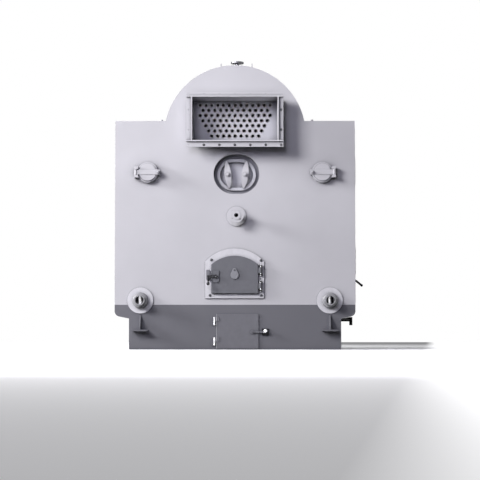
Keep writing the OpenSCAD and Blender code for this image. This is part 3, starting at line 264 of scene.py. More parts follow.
def painted_corner_shade(work, reach, darkest):
    """Painted shade where surfaces meet: 1 in the open, darker in a corner."""
    corner = step(work["tree"], "ShaderNodeAmbientOcclusion", {"Distance": reach}, samples=6)
    dark = (darkest, darkest, darkest * 1.04)
    return between(work, corner.outputs["AO"], dark, (1, 1, 1), 0.28, 0.9)


def settle(work, colour, corner_shade=(0.04, 0.45)):
    """Connects the colour with its painted corner shade, and the last bump, and gives the material
    back.
    """
    colour = blend(work, 1.0, colour, painted_corner_shade(work, *corner_shade), "MULTIPLY")
    work["tree"].links.new(colour, work["shader"].inputs["Base Color"])
    if work["normal"]:
        work["tree"].links.new(work["normal"], work["shader"].inputs["Normal"])
    return work["material"]


def shade(colour, factor):
    return tuple(min(1.0, c * factor) for c in colour)


def tones(work, noise, colour, low, high):
    """A colour that wanders between a darker and a lighter shade of itself."""
    return between(work, noise, shade(colour, low), shade(colour, high))


print("finish helpers ready")

# %% [markdown]
# The casing is sprayed with a smooth enamel. Close up, sprayed paint has a fine pebble like orange
# peel, and the sheet under it is never quite flat, so wide areas drift a little in tone. Both are
# noises: one at about two millimetres, the other at half a metre. The colour itself stays plain, apart
# from painted shade that darkens it in corners.

# %% Sprayed enamels
def enamel(name, colour, roughness=0.42, edge=0.0, peel=0.00012, specular=0.3, corner_shade=(0.04, 0.45)):
    """Sprayed paint; the last pair is the reach and the darkest of the painted shade in corners."""
    work = finish_tree(name, roughness, edge=edge, specular=specular)
    drift = tones(work, grain(work, 1.7, 3.0), colour, 0.965, 1.03)
    speckle = between(work, grain(work, 190.0), (0.965, 0.965, 0.965), (1.0, 1.0, 1.0), 0.35, 0.6)
    bump(work, grain(work, 3.1), 0.004, 0.35)
    bump(work, grain(work, 420.0), peel)
    varied_roughness(work, grain(work, 14.0, 3.0), roughness - 0.04, roughness + 0.06)
    return settle(work, blend(work, 1.0, drift, speckle, "MULTIPLY"), corner_shade)


# Each enamel's last pair is its painted corner shade. The casing's and the duct's reach far and grow
# dark, for the deep shade round and inside the flue duct.
light_grey = (0.604, 0.598, 0.628)
base_grey = (0.158, 0.158, 0.176)
light_enamel = enamel("light_enamel", light_grey, specular=0.1, corner_shade=(0.14, 0.18))
dark_enamel = enamel("dark_enamel", base_grey, 0.46, specular=0.2, corner_shade=(0.05, 0.6))
fitting_enamel = enamel(
    "fitting_enamel", shade(light_grey, 0.98), 0.38, 0.002, specular=0.2, corner_shade=(0.022, 0.3),
)
duct_enamel = enamel(
    "duct_enamel", shade(light_grey, 1.04), 0.45, 0.002, specular=0.04, corner_shade=(0.16, 0.06),
)
cast_enamel = enamel("cast_enamel", (0.6, 0.6, 0.645), 0.4, 0.003, 0.0003, corner_shade=(0.07, 0.1))
black_enamel = enamel("black_enamel", (0.004, 0.004, 0.005), 0.4, specular=0.05)
tube_sheet_paint = enamel("tube_sheet_paint", (0.56, 0.56, 0.6), 0.5, specular=0.15, corner_shade=(0.1, 0.4))
cover_finish = enamel("cover_finish", (0.2, 0.202, 0.222), 0.3, 0.004, specular=0.6, corner_shade=(0.03, 0.3))
latch_black = enamel("latch_black", (0.01, 0.01, 0.012), 0.26, 0.0015)
dark_bolt = enamel("dark_bolt", (0.07, 0.07, 0.078), 0.35, 0.0008)
print("enamels ready, all materials so far:", len(bpy.data.materials))

# %% [markdown]
# Bare steel comes in several kinds here. The small hinges are turned and shine, the drum and its tubes
# keep a blue grey rolling skin, and the grate is rough cast iron. The turned marks are a noise
# stretched along one axis, the rolling skin is a patchy tint with a little rust, and the casting has a
# coarse bump.

# %% Bare metals
def turned_steel(name, colour, roughness, stretch, edge=0.0015):
    work = finish_tree(name, roughness, 1.0, edge)
    tone = tones(work, grain(work, 30.0, 4.0, stretch), colour, 0.86, 1.08)
    stain = between(work, grain(work, 7.0, 4.0), (0.86, 0.85, 0.84), (1, 1, 1), 0.3, 0.55)
    bump(work, grain(work, 300.0, 2.0, stretch), 0.0001, 0.5)
    varied_roughness(work, grain(work, 22.0, 3.0), roughness - 0.06, roughness + 0.1)
    return settle(work, blend(work, 1.0, tone, stain, "MULTIPLY"))


def rolled_steel(name, colour, roughness):
    work = finish_tree(name, roughness, 0.6)
    tone = tones(work, grain(work, 5.0, 5.0), colour, 0.75, 1.15)
    rust = between(work, grain(work, 23.0, 6.0), (0.72, 0.6, 0.52), (1, 1, 1), 0.36, 0.5)
    bump(work, grain(work, 260.0, 3.0), 0.0003, 0.7)
    varied_roughness(work, grain(work, 16.0, 3.0), roughness - 0.08, roughness + 0.12)
    return settle(work, blend(work, 1.0, tone, rust, "MULTIPLY"))


def raw_casting(name, colour):
    work = finish_tree(name, 0.75, 0.4)
    tone = tones(work, grain(work, 40.0, 5.0), colour, 0.7, 1.3)
    bump(work, grain(work, 220.0, 4.0), 0.0009, 0.9)
    return settle(work, tone)


bright_steel = turned_steel("bright_steel", (0.86, 0.86, 0.87), 0.22, (1, 1, 0.15))
mirror_steel = turned_steel("mirror_steel", (0.9, 0.9, 0.91), 0.16, (1, 1, 0.1), 0.0)
bolt_steel = turned_steel("bolt_steel", (0.42, 0.42, 0.44), 0.34, (1, 1, 1), 0.0008)
nozzle_steel = turned_steel("nozzle_steel", (0.14, 0.14, 0.15), 0.3, (1, 1, 0.2))
drum_steel = rolled_steel("drum_steel", (0.3, 0.3, 0.32), 0.5)
tube_steel = rolled_steel("tube_steel", (0.5, 0.5, 0.52), 0.5)
grate_iron = raw_casting("grate_iron", (0.05, 0.048, 0.047))
print("metals ready, all materials so far:", len(bpy.data.materials))

# %% [markdown]
# Some solids carry two finishes: a header's cover disc is painted with the casing but its stub isn't,
# and the doors have bare hinges. Two bands are painted light: black on the right side of the fire
# door's hinge knuckles is painted shade, and a light strip along the ash door's left edge is a painted
# highlight. Cutting the mesh would move the frame, which is fixed, so the material itself changes
# where one coordinate passes a limit. Each band has a colour, a roughness and a metal value.

# %% Finishes that change at a line
def banded_finish(name, limits, bands, edge=0.0, specular=0.3):
    """Starts with the first band and takes the next one past each limit, an axis and a value."""
    work = finish_tree(name, bands[0][1], bands[0][2], edge, specular)
    tree = work["tree"]
    split = step(tree, "ShaderNodeSeparateXYZ", {0: work["place"]})
    passed = [calc(tree, "GREATER_THAN", split.outputs[axis], limit) for axis, limit in limits]
    noise = grain(work, 24.0, 3.0)
    colour, *later = [tones(work, noise, band[0], 0.95, 1.04) for band in bands]
    for past, tone in zip(passed, later):
        colour = blend(work, past, colour, tone)
    for place, socket in ((1, "Roughness"), (2, "Metallic")):
        number, *numbers = [band[place] for band in bands]
        if set(numbers) == {number}:
            continue
        for past, value in zip(passed, numbers):
            number = step(tree, "ShaderNodeMix", {0: past, 2: number, 3: value}).outputs[0]
        tree.links.new(number, work["shader"].inputs[socket])
    bump(work, grain(work, 420.0), 0.00012)
    return settle(work, colour)


gloss_black = ((0.008, 0.008, 0.01), 0.3, 0.0)
keeper_grey = ((0.2, 0.2, 0.22), 0.35, 0.0)
bare_hinge = ((0.85, 0.85, 0.86), 0.2, 1.0)
bare_ball = ((0.9, 0.9, 0.91), 0.25, 1.0)
# A light grey for a painted highlight along the ash door's left edge.
painted_edge_highlight = ((0.55, 0.55, 0.56), 0.4, 0.0)
fire_leaf_paint = ((0.155, 0.157, 0.174), 0.45, 0.0)
ash_leaf_paint = (base_grey, 0.45, 0.0)
ash_latch_paint = (base_grey, 0.4, 0.0)
frame_plate_paint = (shade(light_grey, 1.12), 0.38, 0.0)
disc_paint = (shade(light_grey, 1.05), 0.4, 0.0)
stub_paint = ((0.3, 0.3, 0.315), 0.24, 0.0)

barrel_start, barrel_stop = ("X", -0.2135), ("X", -0.1995)
edge_start, edge_stop = ("X", -0.1885), ("X", -0.1835)

header_finish = banded_finish(
    "header_finish", [("Y", front_y - 0.0125)], [stub_paint, disc_paint], 0.002, 0.4,
)
door_frame_finish = banded_finish(
    "door_frame_finish", [("X", 0.0), ("Y", front_y - 0.0165)],
    [keeper_grey, gloss_black, frame_plate_paint], 0.0012, 0.2,
)
# Past X 0.263 the hinge knuckles turn black: painted shade on their right side.
fire_leaf_finish = banded_finish(
    "fire_leaf_finish", [("X", 0.263)], [fire_leaf_paint, gloss_black], 0.002, 0.2,
)
# From X -0.1885 to -0.1835 the leaf carries a light strip, a painted highlight of its left edge.
ash_leaf_finish = banded_finish(
    "ash_leaf_finish", [barrel_start, barrel_stop, edge_start, edge_stop],
    [ash_leaf_paint, bare_hinge, ash_leaf_paint, painted_edge_highlight, ash_leaf_paint], 0.0012,
)
ash_hinge_finish = banded_finish(
    "ash_hinge_finish", [barrel_start, barrel_stop, ("X", 0.2)],
    [ash_leaf_paint, bare_hinge, ash_leaf_paint, gloss_black], 0.001, 0.15,
)
ash_latch_finish = banded_finish(
    "ash_latch_finish", [("X", 0.2825)], [ash_latch_paint, bare_ball], 0.001,
)
print("banded finishes ready, all materials so far:", len(bpy.data.materials))

# %% [markdown]
# Now each solid gets its finish. A table is clearer than forty assignments: one row for each finish,
# with the solids that carry it. The last line checks that nothing was forgotten.

# %% Paint the solids
finishes = {
    light_enamel: [
        "front_wall_left", "front_wall_right", "front_wall_middle", "front_wall_upper",
        "front_head", "side_wall_left", "side_wall_right", "side_pans", "top_decks",
        "drum_jacket", "rear_wall",
    ],
    dark_enamel: [
        "front_skirt_left", "front_skirt_right", "front_skirt_lintel", "base_sides", "base_rear",
        "side_bands", "support_feet",
    ],
    fitting_enamel: [
        "feed_nozzle", "inspection_neck_left", "inspection_neck_right", "left_lid", "right_lid",
        "lifting_lugs", "manhole_dogs",
    ],
    duct_enamel: ["flue_frame"],
    cast_enamel: ["manhole_ring", "manhole_cover"],
    tube_sheet_paint: ["tube_sheets"],
    door_frame_finish: ["fire_door_frame"],
    fire_leaf_finish: ["fire_door"],
    cover_finish: ["peephole_cover"],
    latch_black: ["fire_latch"],
    ash_leaf_finish: ["ash_door"],
    ash_hinge_finish: ["ash_door_hinges"],
    ash_latch_finish: ["ash_latch"],
    black_enamel: ["side_drain", "damper_lever"],
    header_finish: ["header_left", "header_right"],
    nozzle_steel: ["top_nozzle"],
    drum_steel: ["drum_shell"],
    tube_steel: ["fire_tubes", "water_walls"],
    grate_iron: ["grate"],
}
for finish, names in finishes.items():
    for name in names:
        nodes[name].data.materials.clear()
        nodes[name].data.materials.append(finish)
painted = {name for names in finishes.values() for name in names}
print("solids painted:", len(painted), "of", len(nodes), "left:", sorted(set(nodes) - painted))

# %% [markdown]
# The pieces that this lesson adds come in two ways, from Geometry Nodes and from a mesh that is built
# corner by corner. Both end alike: the mesh is smoothed up to its sharp edges and rides on a body. A
# built mesh is often a skin over a row of loops, such as the cross-sections of a band.

# %% Helpers for built meshes
def hand_over(name, mesh, body, smooth_below=35):
    """Smooths a mesh up to its sharp edges and lets it ride on a body."""
    mesh.name = name
    mesh.polygons.foreach_set("use_smooth", [True] * len(mesh.polygons))
    mesh.set_sharp_from_angle(angle=math.radians(smooth_below))
    piece = bpy.data.objects.new(name, mesh)
    scene.collection.objects.link(piece)
    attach(piece, body)
    print(name, "faces:", len(mesh.polygons))


def finished(name, shape, body, finish):
    """Turns a built shape into a mesh with its finish, and hands it over."""
    mesh = bpy.data.meshes.new(name)
    shape.to_mesh(mesh)
    shape.free()
    mesh.materials.append(finish)
    hand_over(name, mesh, body)


def skin(shape, loops, closed=False):
    """Faces from each loop of points to the next, and then back to the first or over both ends."""
    loops = [[shape.verts.new(point) for point in loop] for loop in loops]
    for one, two in zip(loops, loops[1:] + loops[:1] if closed else loops[1:]):
        for k in range(len(one)):
            shape.faces.new((one[k - 1], one[k], two[k], two[k - 1]))
    if not closed:
        shape.faces.new(loops[0])
        shape.faces.new(loops[-1])
    bmesh.ops.recalc_face_normals(shape, faces=list(shape.faces))


def evenly(first, last, count):
    """Evenly spaced values from first to last."""
    return [first + (last - first) * i / (count - 1) for i in range(count)]


def circle(count):
    """The cosine and the sine of evenly spaced angles round a circle."""
    angles = [2 * math.pi * k / count for k in range(count)]
    return [(math.cos(angle), math.sin(angle)) for angle in angles]


print("mesh helpers ready")

# %% [markdown]
# Bolts, screws and welds repeat all over a boiler, so Geometry Nodes make them. Every tree below is
# built in the same way: named inputs for its sizes and its finish, a group input on one side and a
# group output on the other. The last helper runs a tree on a small starting mesh and turns the result
# into a plain mesh. A modifier's inputs are set by the socket's identifier, which never changes,
# unlike its name.

# %% Helpers for the geometry trees
def new_tree(name, sizes):
    """A tree with a geometry in and out, a named input for each size and one for the finish."""
    tree = bpy.data.node_groups.new(name, "GeometryNodeTree")
    tree.interface.new_socket("Geometry", in_out="INPUT", socket_type="NodeSocketGeometry")
    tree.interface.new_socket("Geometry", in_out="OUTPUT", socket_type="NodeSocketGeometry")
    for label, kind in [*sizes.items(), ("Finish", "Material")]:
        tree.interface.new_socket(label, in_out="INPUT", socket_type="NodeSocket" + kind)
    return tree, tree.nodes.new("NodeGroupInput").outputs


def close_tree(tree, inputs, geometry):
    """Gives the geometry the tree's finish and sends it out."""
    finish = step(tree, "GeometryNodeSetMaterial", {
        "Geometry": geometry.outputs[0], "Material": inputs["Finish"],
    })
    step(tree, "NodeGroupOutput", {0: finish.outputs[0]})


def facing_way(tree):
    """The rotation that turns a piece the way that its point says."""
    way = step(tree, "GeometryNodeInputNamedAttribute", {"Name": "facing"}, data_type="FLOAT_VECTOR")
    return step(tree, "FunctionNodeAlignRotationToVector", {
        "Vector": way.outputs["Attribute"],
    }, axis="Z").outputs[0]


def chance(tree, inputs, low, high):
    """A random number for each point, from the tree's seed."""
    return step(tree, "FunctionNodeRandomValue", {
        2: low, 3: high, "Seed": inputs["Seed"],
    }, data_type="FLOAT").outputs[1]


def copy_to_points(tree, inputs, piece, rotation, **more):
    """Puts a real copy of a piece on every point and closes the tree."""
    copies = step(tree, "GeometryNodeInstanceOnPoints", {
        "Points": inputs["Geometry"], "Instance": piece.outputs[0], "Rotation": rotation, **more,
    })
    close_tree(tree, inputs, step(tree, "GeometryNodeRealizeInstances", {
        "Geometry": copies.outputs[0],
    }))


def measured_line(tree, inputs, spacing):
    """The starting line as an evenly measured curve, and the length along it."""
    line = step(tree, "GeometryNodeMeshToCurve", {"Mesh": inputs["Geometry"]})
    even = step(tree, "GeometryNodeResampleCurve", {
        "Curve": line.outputs[0], "Length": spacing,
    }, mode="LENGTH")
    return even.outputs[0], step(tree, "GeometryNodeSplineParameter").outputs["Length"]


def sweep(tree, inputs, curve, profile):
    """Sweeps a profile along a curve and closes the tree."""
    close_tree(tree, inputs, step(tree, "GeometryNodeCurveToMesh", {
        "Curve": curve.outputs[0], "Profile Curve": profile.outputs["Curve"], "Fill Caps": True,
    }))


def starting_mesh(name, points, edges=(), facing=None):
    """Points, and edges between them, with the direction that each point's piece faces."""
    mesh = bpy.data.meshes.new(name)
    mesh.from_pydata([tuple(point) for point in points], [tuple(edge) for edge in edges], [])
    if facing is not None:
        directions = mesh.attributes.new("facing", "FLOAT_VECTOR", "POINT")
        for index, direction in enumerate(facing):
            directions.data[index].vector = direction
    base = bpy.data.objects.new(name + "_start", mesh)
    scene.collection.objects.link(base)
    return base


def grow(name, base, tree, sizes, body, smooth_below=35):
    """Runs a tree on a starting mesh and leaves one plain mesh that rides on a body."""
    modifier = base.modifiers.new("grow", "NODES")
    modifier.node_group = tree
    for item in tree.interface.items_tree:
        if item.item_type == "SOCKET" and item.in_out == "INPUT" and item.name in sizes:
            modifier[item.identifier] = sizes[item.name]
    bpy.context.view_layer.update()
    evaluated = base.evaluated_get(bpy.context.evaluated_depsgraph_get())
    mesh = bpy.data.meshes.new_from_object(evaluated)
    base.modifiers.clear()
    bpy.data.objects.remove(base)
    hand_over(name, mesh, body, smooth_below)


print("tree helpers ready")

# %% [markdown]
# A hexagon bolt head has a washer under it, six flats and a chamfered crown. The tree makes one from a
# round washer, a six-sided cylinder and a flat cone, and puts a copy on every point, turned to face
# the way the point says. A fitter never leaves all the flats in line, so each head also turns by its
# own angle about its axis, from a fixed seed.

# %% The tree for bolt heads
bolt_tree, bolt_in = new_tree("bolt_heads", {
    "Head radius": "Float", "Head height": "Float", "Washer radius": "Float",
    "Washer height": "Float", "Seed": "Int",
})
head_r, head_h = bolt_in["Head radius"], bolt_in["Head height"]
washer_r, washer_h = bolt_in["Washer radius"], bolt_in["Washer height"]
one_flat = 1.047
bolt_washer = step(bolt_tree, "GeometryNodeMeshCylinder", {
    "Vertices": 20, "Radius": washer_r, "Depth": washer_h,
})
bolt_flats = step(bolt_tree, "GeometryNodeMeshCylinder", {
    "Vertices": 6, "Radius": head_r, "Depth": head_h,
})
bolt_crown = step(bolt_tree, "GeometryNodeMeshCone", {
    "Vertices": 12, "Radius Top": calc(bolt_tree, "MULTIPLY", head_r, 0.68),
    "Radius Bottom": calc(bolt_tree, "MULTIPLY", head_r, 0.9),
    "Depth": calc(bolt_tree, "MULTIPLY", head_h, 0.2),
})
half_washer = calc(bolt_tree, "MULTIPLY", washer_h, 0.5)
half_head = calc(bolt_tree, "MULTIPLY", head_h, 0.5)
bolt_parts = step(bolt_tree, "GeometryNodeJoinGeometry")
for part, height in (
    (bolt_washer, half_washer),
    (bolt_flats, calc(bolt_tree, "ADD", washer_h, half_head)),
    (bolt_crown, calc(bolt_tree, "ADD", washer_h, head_h)),
):
    lift = step(bolt_tree, "ShaderNodeCombineXYZ", {"Z": height})
    moved = step(bolt_tree, "GeometryNodeTransform", {
        "Geometry": part.outputs["Mesh"], "Translation": lift.outputs[0],
    })
    bolt_tree.links.new(moved.outputs[0], bolt_parts.inputs[0])
bolt_spin = step(bolt_tree, "FunctionNodeAxisAngleToRotation", {
    "Axis": (0, 0, 1), "Angle": chance(bolt_tree, bolt_in, 0.0, one_flat),
})
bolt_turn = step(bolt_tree, "FunctionNodeRotateRotation", {
    "Rotation": facing_way(bolt_tree), "Rotate By": bolt_spin.outputs[0],
}, rotation_space="LOCAL")
copy_to_points(bolt_tree, bolt_in, bolt_parts, bolt_turn.outputs[0])


def bolt_heads(name, places, body, radius, height, finish, washer=1.3, seed=1):
    """Hexagon heads at places, each a point and the way it faces."""
    base = starting_mesh(name, [p for p, _ in places], facing=[d for _, d in places])
    grow(name, base, bolt_tree, {
        "Head radius": radius, "Head height": height, "Washer radius": radius * washer,
        "Washer height": height * 0.22, "Seed": seed, "Finish": finish,
    }, body)


print("bolt tree nodes:", len(bolt_tree.nodes))

# %% [markdown]
# Four bolts hold the fire door's frame at its corners; the photograph shows their dark heads. A row of
# four runs along each deck beside the dome, and the first of each shows. The flanges of the nozzles
# and of the flue outlet are open for their pipes, so their holes stay empty.

# %% Bolts of the door frame and the decks
forward, upward, rearward = Vector((0, -1, 0)), Vector((0, 0, 1)), Vector((0, 1, 0))
frame_face = front_y - 0.016
frame_bolt_places = ((-0.234, 0.893), (0.259, 0.889), (-0.248, 0.54), (0.263, 0.54))
bolt_heads("door_frame_bolts", [
    (Vector((x, frame_face, z)), forward) for x, z in frame_bolt_places
], "boiler", 0.0115, 0.008, dark_bolt, 1.2, 3)

deck_z = 2.29
deck_bolt_xs, deck_bolt_ys = (-0.735, 0.773), (front_y + 0.02, -0.6, 0.6, 1.78)
bolt_heads("deck_bolts", [
    (Vector((x, y, deck_z)), upward) for x in deck_bolt_xs for y in deck_bolt_ys
], "boiler", 0.013, 0.011, fitting_enamel, 1.25, 9)

# %% [markdown]
# A weld bead is a small ridge of overlapping ripples. The tree takes any line of points, measures it
# out in quarters of a ripple, and swells and narrows a round tube with a sine of the length along the
# line. It is used wherever plates are joined on the real boiler: round the flue duct, at the feet, and
# at the pipe and neck roots.

# %% The tree for weld beads
weld_tree, weld_in = new_tree("weld_bead", {
    "Bead radius": "Float", "Ripple length": "Float", "Ripple depth": "Float",
})
ripple_length = weld_in["Ripple length"]
weld_even, weld_along = measured_line(
    weld_tree, weld_in, calc(weld_tree, "MULTIPLY", ripple_length, 0.25),
)
weld_phase = calc(weld_tree, "DIVIDE", weld_along, ripple_length)
weld_wave = calc(weld_tree, "SINE", calc(weld_tree, "MULTIPLY", weld_phase, 2 * math.pi))
weld_swell = calc(weld_tree, "MULTIPLY", weld_wave, weld_in["Ripple depth"])
weld_sized = step(weld_tree, "GeometryNodeSetCurveRadius", {
    "Curve": weld_even, "Radius": calc(weld_tree, "ADD", weld_swell, 1.0),
})
weld_round = step(weld_tree, "GeometryNodeCurvePrimitiveCircle", {
    "Resolution": 8, "Radius": weld_in["Bead radius"],
})
sweep(weld_tree, weld_in, weld_sized, weld_round)


def weld_beads(name, lines, body, radius, finish, ripple=0.009, depth=0.16):
    """Beads along lines of points; a line whose first point comes again at its end is closed."""
    points, edges = [], []
    for line in lines:
        closed = (Vector(line[0]) - Vector(line[-1])).length < 1e-6
        line = line[:-1] if closed else line
        first = len(points)
        points += line
        edges += [(first + i, first + i + 1) for i in range(len(line) - 1)]
        if closed:
            edges.append((first + len(line) - 1, first))
    grow(name, starting_mesh(name, points, edges), weld_tree, {
        "Bead radius": radius, "Ripple length": ripple, "Ripple depth": depth, "Finish": finish,
    }, body, 80)


def ring(centre, radius, count):
    """A closed line round a centre that faces the front."""
    line = [Vector(centre) + radius * Vector((cos, 0, sin)) for cos, sin in circle(count)]
    return line + line[:1]


print("weld tree nodes:", len(weld_tree.nodes))

# %% [markdown]
# The beads themselves follow from the solids: a rectangle round the flue duct where it leaves the
# front, rings at the two inspection necks and the feed pipe, and straight runs beside the ribs of the
# feet.

# %% Weld beads on the front
duct_x, duct_low_z, duct_top_z = 0.4355, 2.056, 2.512
duct_corners = ((-1, duct_low_z), (1, duct_low_z), (1, duct_top_z), (-1, duct_top_z), (-1, duct_low_z))
weld_beads("duct_weld", [
    [Vector((side * duct_x, front_y, z)) for side, z in duct_corners],
], "boiler", 0.005, fitting_enamel, 0.012)

neck_x, neck_z, neck_r = 0.872, 1.768, 0.1035
weld_beads("neck_weld", [
    ring((side * neck_x, front_y, neck_z), neck_r, 64) for side in (-1, 1)
], "boiler", 0.0035, fitting_enamel)

feed_x, feed_z, feed_pipe_r = 0.014, 1.331, 0.0245
feed_face = front_y - 0.157
weld_beads("feed_pipe_weld", [
    ring((feed_x, y, feed_z), feed_pipe_r, 32) for y in (front_y - 0.012, feed_face + 0.0165)
], "boiler", 0.003, fitting_enamel, 0.007)

header_x, rib_side = 0.944, 0.0085
foot_z, rib_low_z, rib_top_z, rib_reach = 0.1985, 0.203, 0.34, 0.1
rib_xs = [side * header_x + x for side in (-1, 1) for x in (-rib_side, rib_side)]
weld_beads("foot_weld", [
    [Vector((x, front_y - 0.002, foot_z)), Vector((x, front_y - rib_reach, foot_z))] for x in rib_xs
] + [
    [Vector((x, front_y, rib_low_z)), Vector((x, front_y, rib_top_z))] for x in rib_xs
], "boiler", 0.003, dark_enamel)

# %% [markdown]
# The tubes are rolled into the tube sheet and then sealed with a thin bead each. Eighty small rings
# make the sheet look like real boiler work from close by, and from the photograph's distance they only
# soften the holes' edges.

# %% Seal welds of the fire tubes
tube_rows = [13, 12, 13, 12, 11, 10, 9]
tube_pitch, row_drop, top_row_z, tube_sheet_y = 0.059, 0.052, 2.462, front_y + 0.1
tube_places = [
    ((i - (count - 1) / 2) * tube_pitch, top_row_z - row * row_drop)
    for row, count in enumerate(tube_rows) for i in range(count)
]
weld_beads("tube_seal_welds", [
    ring((x, tube_sheet_y, z), 0.0215, 20) for x, z in tube_places
], "boiler", 0.0018, tube_sheet_paint, 0.012, 0.1)
print("tubes sealed:", len(tube_places))

# %% [markdown]
# The sides, which the photograph doesn't show, are clad in three sheets each. A flat cover strip
# closes each joint between two sheets and each edge, and rows of small screws hold the strips. The
# rear sheet has the same work. This is plain finishing, and nothing here stands out more than six
# millimetres.

# %% Cover strips of the side and rear sheets
def strips(name, boxes, body, finish, rounding=0.0008):
    """Low boxes with softened edges, each from its two corners, in one piece."""
    shape = bmesh.new()
    for low, high in boxes:
        middle = Matrix.Translation([(a + b) / 2 for a, b in zip(low, high)])
        size = Matrix.Diagonal((*[b - a for a, b in zip(low, high)], 1))
        bmesh.ops.create_cube(shape, size=1.0, matrix=middle @ size)
    bmesh.ops.bevel(
        shape, geom=list(shape.edges), offset=rounding, segments=2, affect="EDGES", profile=0.6,
    )
    finished(name, shape, body, finish)


side_x, rear_y = 1.2, 1.8
strip_t, strip_w = 0.0025, 0.05
cross_strip_t = strip_t * 0.8
side_low, side_high = 0.47, 2.215
joint_ys = (-1.755, -0.57, 0.57, 1.755)
strips("side_strips", [
    ((min(side * side_x, side * (side_x + strip_t)), y - strip_w / 2, side_low),
     (max(side * side_x, side * (side_x + strip_t)), y + strip_w / 2, side_high))
    for side in (-1, 1) for y in joint_ys
], "boiler", light_enamel)

rear_inner_x, rear_outer_x = 0.4, 1.15
rear_tops = {-rear_outer_x: 2.26, -rear_inner_x: 2.66, rear_inner_x: 2.66, rear_outer_x: 2.26}
cross_strip_x, cross_strip_z = 1.12, 1.36
strips("rear_strips", [
    ((x - strip_w / 2, rear_y, side_low), (x + strip_w / 2, rear_y + strip_t, top))
    for x, top in rear_tops.items()
] + [
    ((-cross_strip_x, rear_y, cross_strip_z - strip_w / 2),
     (cross_strip_x, rear_y + cross_strip_t, cross_strip_z + strip_w / 2)),
], "boiler", light_enamel)

# %% [markdown]
# A dome-headed screw is a low half ball. The tree for it is the bolt tree's little sister: a point's
# direction aims it, and a small random scale from a fixed seed keeps the rows from looking stamped.

# %% Screws of the cover strips
screw_tree, screw_in = new_tree("dome_screws", {
    "Head radius": "Float", "Head height": "Float", "Seed": "Int",
})
screw_ball = step(screw_tree, "GeometryNodeMeshUVSphere", {"Segments": 10, "Rings": 6, "Radius": 1.0})
screw_flat = step(screw_tree, "ShaderNodeCombineXYZ", {
    "X": screw_in["Head radius"], "Y": screw_in["Head radius"], "Z": screw_in["Head height"],
})
screw_head = step(screw_tree, "GeometryNodeTransform", {
    "Geometry": screw_ball.outputs["Mesh"], "Scale": screw_flat.outputs[0],
})
copy_to_points(
    screw_tree, screw_in, screw_head, facing_way(screw_tree),
    Scale=chance(screw_tree, screw_in, 0.92, 1.05),
)


def dome_screws(name, places, body, finish, radius=0.007, height=0.0028, seed=2):
    """Dome heads at places, each a point and the way it faces."""
    base = starting_mesh(name, [p for p, _ in places], facing=[d for _, d in places])
    grow(name, base, screw_tree, {
        "Head radius": radius, "Head height": height, "Seed": seed, "Finish": finish,
    }, body, 60)


screw_margin = 0.04
dome_screws("side_screws", [
    (Vector((side * (side_x + strip_t), y, z)), Vector((side, 0, 0)))
    for side in (-1, 1) for y in joint_ys
    for z in evenly(side_low + screw_margin, side_high - screw_margin, 12)
], "boiler", bolt_steel)
dome_screws("rear_screws", [
    (Vector((x, rear_y + strip_t, z)), rearward)
    for x, top in rear_tops.items() for z in evenly(side_low + screw_margin, top - screw_margin, 13)
] + [
    (Vector((x, rear_y + cross_strip_t, cross_strip_z)), rearward)
    for x in evenly(-1.02, 1.02, 12) if abs(abs(x) - rear_inner_x) > 0.06
], "boiler", bolt_steel, seed=4)

# %% [markdown]
# Three steel bands hold the round jacket over the drum. Each follows the curve from deck to deck, so
# its cross-sections stand at even angles, and its ends are closed. Screws run along the middle of each
# band.

# %% Bands round the jacket
jacket_r, drum_z = 0.71, 2.144
band_half, band_inner, band_outer = 0.02, jacket_r + 0.0003, jacket_r + 0.0022
band_ys = (-1.35, -0.02, 1.35)
band_section = (
    (band_inner, -band_half), (band_outer, -band_half),
    (band_outer, band_half), (band_inner, band_half),
)
first_angle = math.asin((deck_z + 0.004 - drum_z) / jacket_r)
band_shape = bmesh.new()
for band_y in band_ys:
    skin(band_shape, [
        [(r * math.cos(a), band_y + y, drum_z + r * math.sin(a)) for r, y in band_section]
        for a in evenly(first_angle, math.pi - first_angle, 73)
    ])
finished("jacket_bands", band_shape, "boiler", bolt_steel)
band_screw_places = []
for band_y in band_ys:
    for a in evenly(first_angle + 0.12, math.pi - first_angle - 0.12, 9):
        out = Vector((math.cos(a), 0, math.sin(a)))
        band_screw_places.append((Vector((0, band_y, drum_z)) + band_outer * out, out))
dome_screws("jacket_screws", band_screw_places, "boiler", bolt_steel, 0.008, 0.003, 6)

# %% [markdown]
# Black rings sit on the flue flange round each hole of the bottom row and the two of the right side.
# They are painted shade: the dark that the shadowed wall shows through those holes. Each is a thin
# ring, so its hole stays open for a bolt.

# %% Painted shade rings at the flue flange's holes
hole_pitch, flange_side, flange_low = 0.153, 0.459, 2.0212
side_hole_rises = (0.152, 0.351)
shade_ring_inner, shade_ring_outer, shade_ring_back, shade_ring_front = 0.0082, 0.011, -2.0281, -2.0298
shade_ring_section = (
    (shade_ring_inner, shade_ring_back), (shade_ring_outer, shade_ring_back),
    (shade_ring_outer, shade_ring_front), (shade_ring_inner, shade_ring_front),
)
shade_ring_places = [(i * hole_pitch, flange_low) for i in range(-2, 4)]
shade_ring_places += [(flange_side, flange_low + rise) for rise in side_hole_rises]
shade_ring_shape = bmesh.new()
for x, z in shade_ring_places:
    skin(shade_ring_shape, [
        [(x + r * cos, y, z + r * sin) for cos, sin in circle(24)] for r, y in shade_ring_section
    ], closed=True)
finished("flue_hole_shade_rings", shade_ring_shape, "boiler", black_enamel)

# %% [markdown]
# The lever's arm carries a black rubber sleeve with a row of ribs, so that a hand doesn't slip off it.
# A small black plate fills the wedge between the drain pipe and the sloping underside: painted shade,
# a dark sheet where that wedge lies in shadow, touching both the pipe and the underside.

